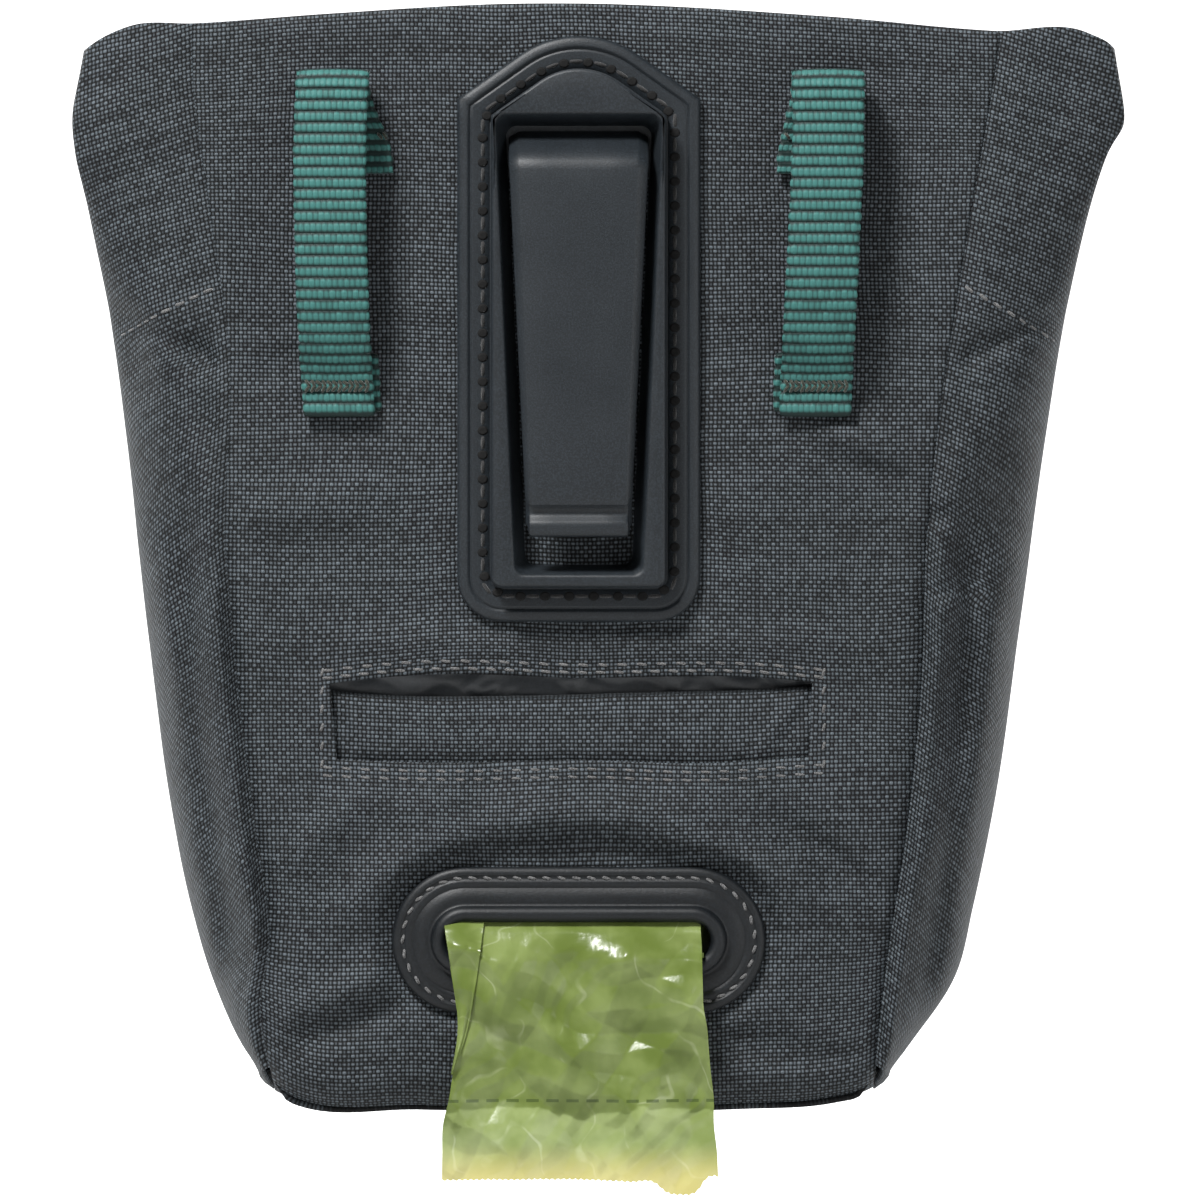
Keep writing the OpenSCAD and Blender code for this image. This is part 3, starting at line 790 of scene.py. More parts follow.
def make_welt():
    """The folded strip that closes the lower part of the slit, and the lining above it."""
    crest = curve_through([(-42, -85.6), (-38, -86.0), (-30, -86.6), (-10, -86.7), (12, -86.1),
                           (30, -85.6), (38, -85.2), (40, -85.2)])
    xs = levels([SLIT_LEFT - 1.4, SLIT_RIGHT + 1.4], 0.7)
    vs = levels([-1.4, 0, 1], 0.05)

    def face(x, v):
        down = np.maximum(v, 0)
        z = crest(x) + (slit_lower_edge(x) - 1.6 - crest(x)) * down
        over = np.clip(-v, 0, 1.4)
        z = z + 0.55 * np.sin(over * 2.0) - 2.2 * ease((over - 0.7) / 0.7)
        bulge = 0.6 * np.sin(np.pi * np.clip(down, 0, 1)) ** 0.8
        left_fold = hump(x, z, -35.4, -91.6, 1.5, 7, 32) - 0.8 * hump(x, z, -37.4, -91.0, 1.3, 7, 32)
        right_fold = hump(x, z, 32.6, -90.6, 1.5, 7, -34) - 0.8 * hump(x, z, 34.6, -90.4, 1.3, 7, -34)
        wave = 0.14 * ripple(x, z, 11, 7) + 0.5 * (left_fold + right_fold)
        y = BACK_Y + 1.1 - bulge - wave + 1.0 * ease(over / 1.2)
        return x, y, z

    welt = sheet_piece("slit_welt_cloth", xs, vs, face, SHELL, lambda x, v: (x, 0.2 - 12.2 * v))
    thicken(welt, 0.5, 1)
    placed(welt, BACK, "shell_fabric", "slit_welt")
    rows = levels([-80.5, -91], -0.5)

    def lining(x, z):
        crumple = np.abs(ripple(x * 0.7 + z, z - x * 0.4, 12, 6)) * 1.3
        crumple = crumple + np.abs(ripple(x - z, z + x * 0.3, 13, 3.2)) * 0.5
        return x, BACK_Y + 3.6 - crumple, z

    inside = sheet_piece("slit_lining", levels([SLIT_LEFT - 1, SLIT_RIGHT + 1], 0.6),
                         rows, lining, LINING)
    placed(inside, BACK, "lining")


def on_back(points):
    """Puts (x, z) points on the back panel's face."""
    return [(x, BACK_Y - float(back_relief(np.array(x), np.array(z))), z) for x, z in points]


def make_slit_stitches():
    """Two rows of stitching above the slit, two below it, and one at each end."""
    xs = np.linspace(-41.8, 40.0, 60)
    rows = []
    for name, edge, lift, pitch, length, radius, slant in (
        ("upper_row", slit_upper_edge, 2.1, 3.1, 2.1, 0.24, 0.12),
        ("second_row", slit_upper_edge, 0.9, 2.9, 2.1, 0.24, 0.12),
        ("lower_row", slit_lower_edge, -1.4, 3.0, 2.0, 0.22, 0.1),
        ("lowest_row", slit_lower_edge, -2.7, 3.0, 2.0, 0.22, 0.1),
    ):
        path = on_back([(x, float(edge(np.array(x))) + lift) for x in xs])
        rows.append(stitches(name, path, pitch, length, radius, THREAD_GREY, slant))
    for name, x in (("left_end", -41.2), ("right_end", 39.3)):
        path = on_back([(x, z) for z in np.linspace(-80.9, -98.6, 30)])
        rows.append(stitches(name, path, 2.6, 1.8, 0.24, THREAD_GREY, 0.25))
    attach(joined("slit_stitching", rows), BACK)


# ---- gussets ----


def gusset_at(side, inner=0.0):
    """Surface of one gusset: angle -90 at the back seam to 90 at the front, level down."""

    def at(angle, level):
        z = np.maximum(level, DEEP)
        seam = seam_of[side](z)
        front_x = side * front_seam_x(z)
        share = (angle + 90) / 180
        base_x = seam + (front_x - seam) * share
        reach = np.abs(fold_of[side](z) - (seam + front_x) / 2) + 0.5
        depth = front_y(z) - BACK_Y
        swing = np.radians(angle)
        # the fold leaves the back seam gently, then turns round and comes back in
        along = np.maximum(np.cos(swing), 0) ** 0.9
        x = base_x + side * (reach - inner) * along
        y = BACK_Y + depth / 2 + (depth / 2 - inner) * np.sin(swing)
        span = np.abs(x - seam)
        behind = ease((30 - angle) / 60)
        ear = ease((z + 30) / 14)
        low = ease((-45 - z) / 30)
        slant = x * side - 0.55 * z
        folds = 1.9 * ripple(slant, x * side * 0.45 + z * 0.2, 20 + side, 9)
        folds = folds + 0.7 * ripple(x, z, 24 + side, 6)
        # a rolled edge beside the lower seam, and a long fold down the middle of the gusset
        rolled = 1.3 * bell(span - 1.7, 1.1) * low
        trough = 2.4 * bell(span - 5.6 - 1.5 * low, 2.4) * low
        hem = 1.5 * bell(z + 29.5 - 0.5 * (span - 8), 2.2)
        ends = ease((angle + 90) / 12) * ease((90 - angle) / 12)
        y = y - (folds * (0.35 + 0.65 * (1 - ear)) - trough + rolled - hem * (1 - ear * 0.5)) \
            * behind * ends
        if side > 0:
            for pucker_z, size in ((-57.5, 1.7), (-69.5, 1.5)):
                y = y + size * hump(x, z, 58.6, pucker_z, 1.5, 1.5) * behind
                y = y - 0.7 * hump(x, z, 60.5, pucker_z - 2, 2.4, 1.4, -30) * behind
        y = y + seam_depth(span, z) * behind
        # the seam allowance goes under the back panel, and the foot under the base
        under = np.exp(-span / 0.8) * behind
        x = x - side * 0.9 * under
        y = y + 0.35 * under
        tuck = np.clip((DEEP - level) / 3, 0, 1) ** 2
        level = np.where(level < DEEP, DEEP + (level - DEEP) * ease((angle + 70) / 40), level)
        x = x - side * 2.6 * tuck * ease((angle + 70) / 40)
        near_seam = np.exp(-span / 4)
        return x, y, level + rim_shift(x, level) + base_shift(seam, level) * near_seam

    return at


def place_on_gusset(piece, slot, *nodes):
    """Bakes the piece's transform into its mesh and hides the CAD nodes that it stands for."""
    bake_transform(piece)
    points = np.empty(len(piece.data.vertices) * 3)
    piece.data.vertices.foreach_get("co", points)
    points = points.reshape(-1, 3) / MM
    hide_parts(*nodes)


def make_gussets():
    """Each gusset's cloth and its lining, which ends above the base."""
    for side, word in ((-1, "left"), (1, "right")):
        angles = np.unique(np.concatenate([levels([-90, -60], 1.6), levels([-60, 40], 2.6),
                                           levels([40, 90], 5)]))
        rows = levels([RIM, RIM - 2, DEEP, DEEP - 1, DEEP - 2, DEEP - 3], -1.2)
        at = gusset_at(side)

        def cloth_uv(angle, level, at=at, side=side):
            x, y, z = at(angle, level)
            around = np.concatenate([np.zeros((len(x), 1)), np.cumsum(
                np.hypot(np.diff(x, axis=1), np.diff(y, axis=1)), axis=1)], axis=1)
            tilt = 0.30 + 0.25 * ease((-30 - level) / 40)
            return side * around, z + tilt * around + 0.6 * ripple(x, z, 31, 16)

        cloth = sheet_piece(f"{word}_gusset_cloth", angles, rows, at, SHELL, cloth_uv, flip=side < 0)
        apply_modifiers(thicken(cloth, CLOTH, 1))
        place_on_gusset(cloth, "shell_fabric", f"{word}_gusset")

        inner = gusset_at(side, 1.9)
        lining_rows = levels([RIM - 0.8, DEEP + 2], -3)
        lining = sheet_piece(f"{word}_gusset_lining", levels([-86, 86], 4), lining_rows, inner,
                             LINING, lambda a, v: (a * 0.4, v), flip=side < 0)
        apply_modifiers(thicken(lining, 0.3, -1))
        place_on_gusset(lining, "lining", f"{word}_gusset_facing", f"{word}_gusset_liner")


def make_facing_stitches():
    """The stitch line across each gusset that holds the rim's facing."""
    lines = {
        -1: [(-74.2, -28.2), (-66, -24.2), (-58.4, -20.6)],
        1: [(61.4, -20.2), (69, -24.6), (77.0, -29.2)],
    }
    for side, word in ((-1, "left"), (1, "right")):
        at = gusset_at(side)
        path = []
        stops = lines[side]
        for x in np.linspace(stops[0][0], stops[-1][0], 24):
            z = np.interp(x, *zip(*stops))
            gx, gy, gz = at(np.linspace(-90, 0, 200)[None, :], np.full((1, 200), z))
            near = int(np.argmin(np.abs(gx[0] - x)))
            path.append((gx[0, near], gy[0, near] - 0.1, gz[0, near]))
        row = stitches(f"{word}_facing_stitching", path, 2.5, 1.9, 0.26, THREAD_GREY, 0.1)
        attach(row, BACK)


# ---- base and front ----


def make_base():
    """The cloth under the pouch, rounded up into its four sides."""
    shares = levels([-1, 1], 0.02)
    depths = levels([0, 1], 0.02)
    front_edge = float(front_y(DEEP)) - 0.4

    def at(share, depth):
        y = BACK_Y + BEND * 0.55 + (front_edge - BACK_Y - BEND * 0.55) * depth
        left, right = float(seam_of[-1](DEEP)), float(seam_of[1](DEEP))
        x = (left + right) / 2 + share * (right - left) / 2 * (1 + 0.03 * np.sin(np.pi * depth))
        side = np.abs(share)
        z = base_height(x * 0.98) + 0.3 + 0.4 * ripple(x, y, 40, 14)
        z = z + 3.2 * ease((side - 0.93) / 0.07) + 3.6 * ease((depth - 0.93) / 0.07)
        return x, y, z

    base = sheet_piece("base_cloth", shares, depths, at, SHELL, lambda s, d: (s * 50, d * 50))
    thicken(base, CLOTH, 0)
    placed(base, BACK, "shell_fabric", "bottom_panel")


def make_inner_pieces():
    """Facings inside the rim, and the board and lining on the pouch's floor."""
    shares = levels([-1, 1], 0.04)

    def back_side(share, level):
        x, _, z = back_at(share * 0.985, level)
        top = ease((level - RIM + 3) / 3)
        return x, BACK_Y + 2.9 - 1.9 * top + 0.2 * ripple(x, z, 90, 12), z

    def front_side(share, level):
        x, y, z = front_at(share * 0.985, level)
        top = ease((level - RIM + 3) / 3)
        return x, y - 2.6 + 1.5 * top, z

    for name, body, node, at, foot, flip in (
        ("back_rim_facing", BACK, "back_facing", back_side, -27, True),
        ("front_rim_facing", FRONT, "front_facing", front_side, -2, False),
    ):
        facing = sheet_piece(name, shares, levels([RIM - 0.7, foot], 1.5), at, LINING,
                             lambda s, z: (s * 60, z), flip=flip)
        thicken(facing, 0.4, 1)
        placed(facing, body, "lining", node)

    front_edge = float(front_y(DEEP)) - 4.5
    back_edge = BACK_Y + BEND + 1.5
    for name, node, material, slot, lift, thick in (
        ("floor_board", "base_board", BOARD, "board", 1.6, 1.1),
        ("floor_lining", "bottom_liner", LINING, "lining", 2.9, 0.4),
    ):
        def at(share, depth, lift=lift):
            corner = 1 - 0.06 * np.abs(2 * depth - 1) ** 6
            x = share * 44 * corner
            y = back_edge + (front_edge - back_edge) * depth
            return x, y, base_height(x) + lift + 0.3 * ripple(x, y, 91, 18)

        sheet = sheet_piece(name, shares, levels([0, 1], 0.05), at, material,
                            lambda s, d: (s * 44, d * 45))
        thicken(sheet, thick, 0)
        placed(sheet, BACK, slot, node)


ZIP_Z = -14
ZIP_HALF = 46                          # half the zip's length
ZIP_SLOPE = math.radians(33.64)        # the front's slope where the zip lies


def front_relief(x, z):
    lift = 0.5 * ripple(x, z, 50, 26) + 0.25 * ripple(x, z, 51, 9)
    return lift * ease((-22 - z) / 12)


def front_at(share, z):
    half = front_seam_x(z)
    x = share * half
    edge = half - np.abs(x)
    y = front_y(z) + front_relief(x, z) * ease(edge / 6) - seam_depth(edge, BELLY)
    rolled = np.clip((z - RIM + 1.1) / 1.1, 0, 1)
    return x, y - 0.5 * rolled ** 2, shaped_height(x, z)


def make_front_panel():
    """The front's cloth, with a gap for the zip."""
    opening = 3 * math.cos(ZIP_SLOPE)
    rows = levels([RIM, RIM - 2, ZIP_Z + opening, ZIP_Z - opening, DEEP], -1.5)
    end = ZIP_HALF / float(front_seam_x(ZIP_Z))
    shares = levels([-1, -0.94, -end, end, 0.94, 1], 0.03)

    def gap(share, z):
        return (np.abs(share) < end) & (np.abs(z - ZIP_Z) < opening)

    panel = sheet_piece("front_panel_cloth", shares, rows, front_at, SHELL,
                        lambda s, z: (s * 58, z), gap, flip=True)
    thicken(panel, CLOTH, 1)
    placed(panel, FRONT, "shell_fabric", "front_panel")


def pocket_y(z):
    """Outer face of the drop pocket: it bellies out below its bound mouth."""
    s = np.clip((-66 - z) / 80, 0, 1)
    return 59.4 + 7 * np.sqrt(np.maximum(0, 1 - s * s)) + 2.5 * np.sin(np.pi * s)


def make_drop_pocket():
    """The front's open pocket and the binding along its mouth."""
    rows = levels([-65.4, -67, -146], -1.5)
    shares = levels([-1, -0.93, 0.93, 1], 0.03)

    def at(share, z):
        half = front_seam_x(z) - 0.6
        edge = half * (1 - np.abs(share))
        s = np.clip((-66 - z) / 80, 0, 1)
        side = ease(edge / 6)
        pleat = 0.7 * np.sin(share * 40) * bell(z + 66, 9)
        relief = 0.5 * ripple(share * half, z, 60, 17) + 0.22 * ripple(
            share * half, z, 61, 7) + pleat
        y = front_y(z) + 0.7 + (pocket_y(z) - front_y(z) - 0.7) * side \
            + relief * side * (1 - s ** 6)
        return share * half, y, z

    pocket = sheet_piece("drop_pocket_cloth", shares, rows, at, SHELL,
                         lambda s, z: (s * 55, z), flip=True)
    thicken(pocket, 0.8, 1)
    placed(pocket, FRONT, "shell_fabric", "drop_pocket")

    low, high = box_of("drop_pocket_elastic")
    around = levels([0, 1], 1 / 14)[:-1]

    def binding(t, x):
        a = t * 2 * np.pi
        flat = np.abs(np.cos(a)) ** 0.5 * np.sign(np.cos(a))
        tall = np.abs(np.sin(a)) ** 0.6 * np.sign(np.sin(a))
        gather = 1 + 0.05 * np.sin(x / 0.9)
        y = (low.y + high.y) / 2 + (high.y - low.y) / 2 * flat * gather
        y = y - 4.4 * ease((np.abs(x) - high.x + 7) / 7)
        z = (low.z + high.z) / 2 + (high.z - low.z) / 2 * tall
        return x, y, z

    band = sheet_piece("pocket_binding", around, levels([low.x, high.x], 0.6), binding, BINDING,
                       lambda t, x: (t * 12, x), closed=True)
    placed(band, FRONT, "webbing", "drop_pocket_elastic")


# ---- clip ----

clip_half = (flange_high.x - flange_low.x) / 2
CLIP_FOOT = flange_low.z
ARCH_R = 16.5
ARCH_Z = flange_high.z - ARCH_R
SLOPE = math.radians(35.3)          # the straight stretches beside the arch, from level


def arc(cx, cz, r, a0, a1, count):
    """Points (x, z) along an arc, angles in degrees, without its last point."""
    angles = np.radians(np.linspace(a0, a1, count + 1)[:-1])
    return [(cx + r * math.cos(a), cz + r * math.sin(a)) for a in angles]


def line(a, b, count):
    """Points (x, z) from a to b, without the last."""
    return [(a[0] + (b[0] - a[0]) * t, a[1] + (b[1] - a[1]) * t)
            for t in np.linspace(0, 1, count + 1)[:-1]]


def clip_outline(inset):
    """The clip's outline as (x, z): square sides, round lower corners, sloped shoulders, an arch."""
    half = clip_half - inset
    foot = CLIP_FOOT + inset
    r = max(7.2 - inset, 0.8)
    arch = ARCH_R - inset
    meet = (arch * math.sin(SLOPE), ARCH_Z + arch * math.cos(SLOPE))
    shoulder = ARCH_Z + (arch - half * math.sin(SLOPE)) / math.cos(SLOPE)
    points = line((-half, foot + r), (-half, shoulder), 24)
    points += line((-half, shoulder), (-meet[0], meet[1]), 8)
    points += arc(0, ARCH_Z, arch, 90 + math.degrees(SLOPE), 90 - math.degrees(SLOPE), 24)
    points += line(meet, (half, shoulder), 8)
    points += line((half, shoulder), (half, foot + r), 24)
    points += arc(half - r, foot + r, r, 0, -90, 8)
    points += line((half - r, foot), (-half + r, foot), 16)
    points += arc(-half + r, foot + r, r, -90, -180, 8)
    return points


WINDOW_TOP = 6.9
WINDOW_FOOT = -66.8


def clip_window(inset):
    """The opening that the tongue sits in, as many points as the outline: it narrows downwards."""
    top, foot = WINDOW_TOP - inset, WINDOW_FOOT + inset
    wide, slim = 13.3 - inset, 10.3 - inset
    r = 1.7
    points = line((-slim, foot + r), (-wide, top - r), 24)
    points += arc(-wide + r, top - r, r, 180, 90, 8)
    points += line((-wide + r, top), (wide - r, top), 24)
    points += arc(wide - r, top - r, r, 90, 0, 8)
    points += line((wide, top - r), (slim, foot + r), 24)
    points += arc(slim - r, foot + r, r, 0, -90, 8)
    points += line((slim - r, foot), (-slim + r, foot), 16)
    points += arc(-slim + r, foot + r, r, -90, -180, 8)
    return points


def ring(points, y):
    return [(x, y, z) for x, z in points]


def make_clip_base():
    """One moulding: a bevelled flange with a stitch channel, a raised frame, and its window."""
    lip = flange_low.y
    face = 3.1
    steps = [(0.0, BACK_Y + 0.2), (0.0, 3.9), (0.12, 3.55), (0.5, face + 0.12),
             (1.0, face), (1.45, face - 0.12), (1.75, face - 0.1), (2.0, face + 0.3),
             (2.15, face + 0.32), (2.35, face), (2.6, face - 0.02), (3.6, face),
             (5.0, face), (5.15, face + 0.25), (5.4, face + 0.25), (5.55, lip + 0.45),
             (5.8, lip + 0.1), (6.1, lip)]
    rings = [ring(clip_outline(inset), y) for inset, y in steps]
    walls = [(-0.45, lip), (-0.15, lip + 0.06), (0.05, lip + 0.35), (0.3, lip + 0.8),
             (1.7, BACK_Y + 0.1)]
    rings += [ring(clip_window(inset), y) for inset, y in walls]
    plate = loft_piece("clip_plate", rings, PLASTIC)
    # the floor of the recess that the tongue grows out of
    floor = mesh_piece("recess_floor", *recess_floor(), PLASTIC)
    base = joined("clip_base_moulding", [plate, floor])
    placed(base, BACK, "clip_plastic", "clip_base")

    path = [(x, face, z) for x, z in clip_outline(4.1)]
    path.append(path[0])
    middles, _ = walk(path, 3.9)
    holes_at = (middles + np.roll(middles, 1, axis=0)) / 2
    # each needle hole is a near-black disc on the channel: painted shade in the hole
    hole_shades = []
    turns = np.linspace(0, 2 * np.pi, 13)[:-1]
    for k, (x, y, z) in enumerate(holes_at):
        rim, pit = [[(x + wide * math.cos(a), y - up, z + tall * math.sin(a)) for a in turns]
                    for wide, tall, up in ((0.85, 0.75, 0.04), (0.5, 0.45, 0.06))]
        hole_shades.append(loft_piece(f"hole_{k}", [rim, pit], HOLE_SHADE, caps=True))
    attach(joined("clip_needle_hole_shades", hole_shades), BACK)
    row = stitches("clip_stitching", np.array(path) - [0, 0.05, 0], 3.9, 2.9, 0.3, THREAD_DARK, 0.0, 0.9)
    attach(row, BACK)


def recess_floor():
    """A curved plate across the top of the window, behind the root of the tongue."""
    xs = np.linspace(-12.9, 12.9, 13)
    profile = [(2.9, 7.2), (4.2, 6.6), (4.6, 5.0), (4.65, 2.0), (4.65, -1.5), (4.75, -3.0)]
    points = [(x, y, z) for y, z in profile for x in xs]
    faces = [(j * 13 + i, j * 13 + i + 1, (j + 1) * 13 + i + 1, (j + 1) * 13 + i)
             for j in range(len(profile) - 1) for i in range(12)]
    return points, faces


def make_tongue():
    """The clip's spring tongue: it bends out of the recess, runs down flat and ends in a lip."""
    out = box_of("clip_tongue")[0].y
    profile = [(4.4, 4.4), (3.6, 4.2), (2.2, 3.6), (0.6, 2.8), (-1.2, 1.8), (-2.8, 0.8), (-3.9, -0.1),
               (-4.5, -1.0), (-4.7, -2.2), (-4.7, -12), (-4.7, -22), (-4.7, -32), (-4.7, -42),
               (-4.65, -50), (-4.55, -54.6), (-4.35, -55.6), (-3.6, -56.1), (-3.35, -56.9),
               (-3.6, -57.6), (-4.2, -58.1), (-4.45, -58.7), (-4.4, -59.8), (-4.0, -60.5), (-3.3, -60.75)]
    fine = []
    for a, b in zip(profile, profile[1:]):
        steps = 1 if abs(b[1] - a[1]) < 6 else 4
        for t in np.linspace(0, 1, steps + 1)[:-1]:
            fine.append((a[0] + (b[0] - a[0]) * t, a[1] + (b[1] - a[1]) * t))
    fine.append(profile[-1])
    fine = np.array(fine)
    fine[:, 0] += out + 4.7
    run = np.gradient(fine, axis=0)
    run /= np.linalg.norm(run, axis=1, keepdims=True)
    rings = []
    for (y, z), (dy, dz) in zip(fine, run):
        ny, nz = dz, -dy
        if ny > 0:
            ny, nz = -ny, -nz
        taper = np.clip((0.5 - z) / 56, 0, 1)
        flat = 9.5 - 1.9 * taper
        outer = 11.2 - 2.7 * taper
        if z < -57.8:
            outer = flat + 0.55
        thick = 2.1 if z > -55 else 1.7
        half = [(flat * 0.5, 0), (flat - 0.15, 0), (flat + 0.25, 0.12), (outer - 0.2, 0.85),
                (outer, 1.15), (outer, thick)]
        section = [(-x, d) for x, d in half[::-1]] + [(0, 0)] + half
        section += [(flat * 0.5, thick), (-flat * 0.5, thick)]
        rings.append([(x, y - ny * d, z - nz * d) for x, d in section])
    tongue = loft_piece("clip_tongue_moulding", rings, PLASTIC, caps=True)
    bevelled(tongue, 0.12, 2, 40)
    placed(tongue, "tongue", "clip_plastic", "clip_tongue")


# ---- belt loops ----

RIB = 1.76


def smooth_path(points, step):
    """A rounded path through (y, z) points in millimetres: corners cut, even steps."""
    path = np.array(points, dtype=float)
    for _ in range(3):
        cut = [path[0]]
        for a, b in zip(path, path[1:]):
            cut += [a * 0.75 + b * 0.25, a * 0.25 + b * 0.75]
        cut.append(path[-1])
        path = np.array(cut)
    steps = np.concatenate([[0], np.cumsum(np.linalg.norm(np.diff(path, axis=0), axis=1))])
    at = np.linspace(0, steps[-1], int(steps[-1] / step) + 1)
    return np.stack([np.interp(at, steps, path[:, 0]), np.interp(at, steps, path[:, 1])], -1), at


def webbing_strip(name, points, centre_of, width, seed):
    """Ribbed webbing along a path; centre_of(s share, z) is its middle across the pouch."""
    path, at = smooth_path(points, RIB / 10)
    run = np.gradient(path, axis=0)
    run /= np.linalg.norm(run, axis=1, keepdims=True)
    normal = np.stack([run[:, 1], -run[:, 0]], -1)
    share = at / at[-1]
    across = np.linspace(-0.5, 0.5, 25)

    def place(t, k):
        k = np.round(k).astype(int)
        edge = np.abs(t) * 2
        rib = np.abs(np.sin(np.pi * at[k] / RIB)) ** 0.6
        cell = 0.75 + 0.25 * np.abs(np.sin(np.pi * t * width / 1.15 + (at[k] // RIB) * np.pi / 2))
        selvedge = ease((0.97 - edge) / 0.05)
        height = 0.22 * rib * cell * selvedge + 0.1 * (1 - selvedge)
        frayed = 0.10 * ripple(at[k] + 0 * t, t * 0 + 1000 * seed, seed, 0.9) * (edge > 0.9)
        cup = 0.25 * edge ** 2
        y = path[k, 0] + normal[k, 0] * (-height + cup)
        z = path[k, 1] + normal[k, 1] * (-height + cup)
        x = centre_of(share[k], path[k, 1]) + t * width + frayed * np.sign(t)
        return x, y, z

    strip = sheet_piece(name, across, np.arange(len(at)), place, WEBBING,
                        lambda t, k: (t * width, at[np.round(k).astype(int)]))
    thicken(strip, 1.0, 1)
    return strip


def make_loops():
    """Each loop is one strip over the belt and a short tail behind its foot, with bartacks."""
    front_path = [(3.6, -40.9), (3.5, -39), (3.4, -36.6), (2.6, -34), (-0.6, -29), (-2.5, -22), (-3.2, -12),
                  (-3.3, -2), (-3.1, 6), (-2.2, 11.6), (0.4, 13.6), (3.2, 11.6), (3.5, 7), (3.5, 1.6),
                  (3.2, -2.2)]
    lean_of = {
        -1: curve_through([(-41, -38.4), (-30, -39.0), (-12, -39.6), (2, -39.7), (14, -39.3)]),
        1: curve_through([(-41, 37.9), (-30, 38.3), (-12, 39.2), (2, 39.8), (14, 39.9)]),
    }
    tail_path = [(3.75, -31.6), (4.1, -36), (4.2, -40.4)]
    for side, word in ((-1, "left"), (1, "right")):
        lean = lean_of[side]
        shift = 4.2 if side < 0 else -2.2

        def centre(share, z, lean=lean, shift=shift):
            return lean(z) + shift * ease((share - 0.80) / 0.18)

        ribbon = webbing_strip(f"{word}_loop_webbing", front_path, centre, 11.1, 70 + side)
        placed(ribbon, BACK, "webbing", f"{word}_belt_loop")

        def tail_centre(_, z, lean=lean, side=side):
            return lean(z) - side * 1.1

        tail = webbing_strip(f"{word}_loop_tail", tail_path, tail_centre, 10.9, 75 + side)
        placed(tail, BACK, "webbing")

        middle = float(lean(np.array(-36.3)))
        rows = []
        for k, z in enumerate((-36.0, -36.9)):
            path = [(middle + t * 10.4, 2.0, z) for t in np.linspace(-0.5, 0.5, 10)]
            rows.append(stitches(f"tack_{k}", path, 0.85, 1.5, 0.26, THREAD_TACK, 0.95 - 1.9 * k, 0.5))
        top = float(lean(np.array(3.7))) + shift * 0.9
        start = top + (3.6 if side < 0 else -5.2)
        path = [(start + t * 1.6, 3.0, 3.6) for t in (0, 1)]
        rows.append(stitches("top_tack", path, 0.8 if side < 0 else 1.6, 1.4, 0.25, THREAD_TACK, 0.9))
        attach(joined(f"{word}_loop_bartacks", rows), BACK)


# ---- dispenser ----

def stadium(inset):
    """The grommet's outline as (x, z)."""
    r = grommet_half.z - inset
    straight = grommet_half.x - grommet_half.z
    cx, cz = grommet_mid.x, grommet_mid.z
    points = line((cx - straight, cz + r), (cx + straight, cz + r), 24)
    points += arc(cx + straight, cz, r, 90, -90, 24)
    points += line((cx + straight, cz - r), (cx - straight, cz - r), 24)
    points += arc(cx - straight, cz, r, 270, 90, 24)
    return points


def make_grommet():
    """A rubber ring with a stitch channel and a rolled lip around the slot."""
    face = grommet_low.y + 1.9
    steps = [(0.0, BACK_Y + 0.3), (0.0, 4.1), (0.15, 3.7), (0.6, face + 0.1),
             (1.05, face), (1.35, face + 0.05), (1.5, face + 0.3), (1.95, face + 0.32),
             (2.15, face + 0.1), (2.4, face + 0.02), (3.0, face), (3.2, face + 0.22),
             (3.4, face + 0.2), (3.55, face), (5.7, face + 0.05), (6.15, face + 0.1)]
    rings = [ring(stadium(inset), y) for inset, y in steps]
    crest = grommet_low.y + 1.25
    for a in np.radians(np.linspace(-10, 190, 15)):
        rings.append(ring(stadium(7.55 - 1.25 * math.cos(a)), crest - 1.25 * math.sin(a)))
    rings.append(ring(stadium(8.9), BACK_Y + 1.2))
    grommet = loft_piece("dispenser_grommet_rubber", rings, RUBBER)
    placed(grommet, BACK, "grommet_rubber", "dispenser_grommet")
    path = [(x, face + 0.2, z) for x, z in stadium(1.75)]
    path.append(path[0])
    row = stitches("grommet_stitching", path, 2.35, 1.75, 0.26, THREAD_GREY, 0.3)
    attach(row, BACK)


film_left = curve_through([(-166, -22.2), (-156, -21.8), (-148, -20.6), (-140, -19.3), (-130, -20.2),
                           (-120, -22.0)])
film_right = curve_through([(-166, 22.2), (-156, 21.8), (-146, 20.9), (-137, 20.2), (-128, 20.0),
                            (-120, 19.4)])
FILM_TOP = -121.4


def creased(t, period):
    """A folded-paper wave: sharp ridges and valleys, 0 to 1."""
    return np.abs((t / period) % 1 - 0.5) * 2


def crumple(x, z):
    """How far the film stands out: flat facets that meet in sharp creases."""
    drift = 3.0 * ripple(x, z, 80, 17) + 1.2 * ripple(x, z, 81, 6)
    wave = 2.0 * creased(x * 0.76 + z * 0.65 + drift, 19)
    wave = wave + 1.3 * creased(x * 0.9 - z * 0.42 - drift, 15)
    wave = wave + 0.6 * creased(x * 0.3 + z * 0.95 + drift * 1.4, 9)
    wave = wave + 0.22 * creased(x * 0.8 - z * 0.6 + drift * 2, 4.2)
    wave = wave + 0.14 * ripple(x, z, 82, 3.5)
    return wave


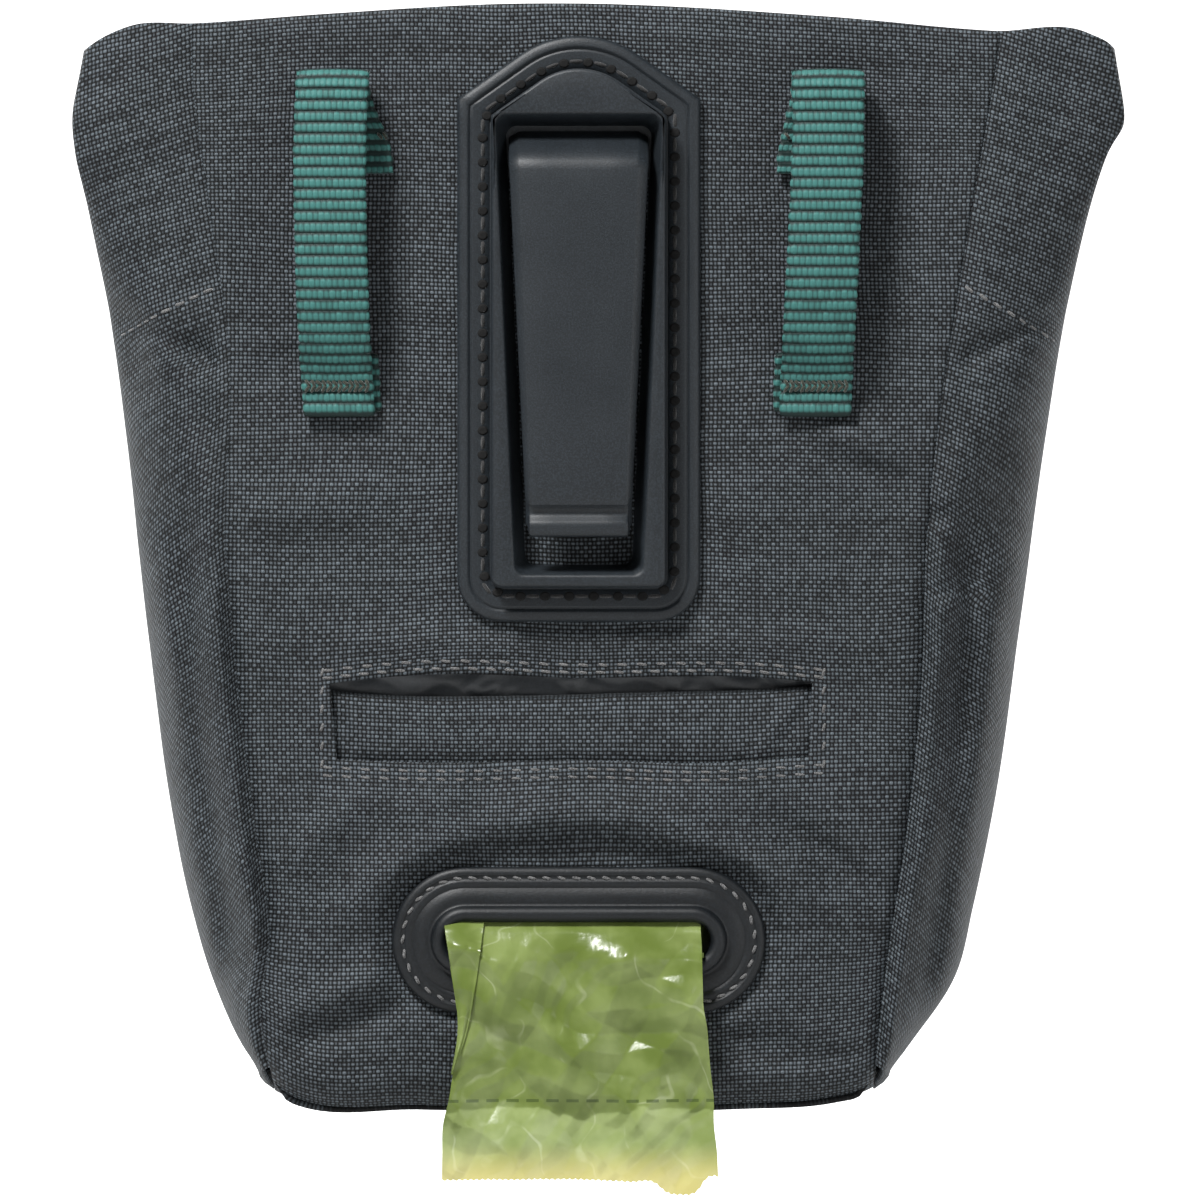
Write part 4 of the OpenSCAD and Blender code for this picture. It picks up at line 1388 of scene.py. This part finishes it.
def make_film():
    """The leading bag hangs out of the slot with its left edge folded forward."""
    torn = curve_through([(-23, -163.9), (-10, -163.6), (8, -164.0), (12, -164.2), (13.6, -165.6),
                          (16, -166.0), (18.6, -165.4), (20, -163.6), (23, -163.2)])

    def body(u, v):
        x0 = -22 + 44 * u
        end = torn(x0) + 0.35 * creased(u, 0.021)
        z = FILM_TOP + (end - FILM_TOP) * v
        x = film_left(z) + (film_right(z) - film_left(z)) * u
        free = ease((v - 0.02) / 0.16)
        y = 1.9 - crumple(x, z) * free - 0.5 * free
        y = y + 1.6 * ease((0.07 - v) / 0.07)
        return x + 0.35 * ripple(z, z * 0, 83, 5), y, z

    us = np.linspace(0, 1, 150)
    vs = np.linspace(0, 1, 170)
    strip = sheet_piece("leading_bag", us, vs, body, FILM, lambda u, v: body(u, v)[::2], flip=True)
    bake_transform(strip)
    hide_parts("bag_strip")

    fold = curve_through([(-147, -20.3), (-144, -19.2), (-141, -18.2), (-133, -16.6), (-121, -15.0)])

    def flap(u, v):
        z = FILM_TOP - 0.4 + (-146.2 - FILM_TOP) * v
        x_left = film_left(z) - 0.1
        x = x_left + (fold(z) - x_left) * u
        free = ease((v - 0.02) / 0.2)
        y = 1.3 - crumple(x, z) * free - 0.75 * np.sin(np.pi * np.clip(u, 0, 0.9)) * free
        y = y - 0.3 * ripple(x, z, 84, 4) + 1.3 * ease((0.07 - v) / 0.07)
        return x, y, z

    folded = sheet_piece("folded_flap", np.linspace(0, 1, 30), np.linspace(0, 1, 100), flap, FILM,
                         lambda u, v: flap(u, v)[::2], flip=True)
    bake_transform(folded)


# ---- carried-over nodes ----


def finish_nodes():
    """Materials for the CAD nodes whose own shape shows."""
    made = {
        LINING: ["back_liner", "front_liner", "roll_pocket", "zip_pocket_bag"],
        BOARD: ["back_stiffener"],
        PLATED: ["back_magnets", "front_magnets"],
        ROLLED: ["bag_roll", "bag_web"],
        CARD: ["roll_core"],
        TAPE: ["zip_tape_upper", "zip_tape_lower", "pull_tab"],
        COIL: ["zip_coil"],
        STEEL: ["zip_stops", "zip_slider", "zip_pull"],
    }
    for material, names in made.items():
        for name in names:
            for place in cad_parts[name].material_slots:
                place.material = material


# ---- the build ----


def make_stage():
    """A floor below the pouch that curves up behind it."""
    floor_z = cad_box[0].z / MM - 10

    def at(x, y):
        rise = np.maximum(0, y - 1400)
        return x, y, floor_z + 0.0012 * rise ** 2

    paper = moulded("studio_paper", grey(0.46), grey(0.5), 0.9, 40)
    glow = paper.node_tree.nodes["Principled BSDF"].inputs
    glow["Emission Color"].default_value = (1, 1, 1, 1)
    glow["Emission Strength"].default_value = 0.28
    across, back = np.linspace(-5000, 5000, 9), np.linspace(-3000, 3400, 40)
    sheet_piece("studio_floor", across, back, at, paper)


make_back_panel()
make_welt()
make_slit_stitches()
make_gussets()
make_facing_stitches()
make_base()
make_inner_pieces()
make_front_panel()
make_drop_pocket()
make_clip_base()
make_tongue()
make_loops()
make_grommet()
make_film()
finish_nodes()
make_stage()
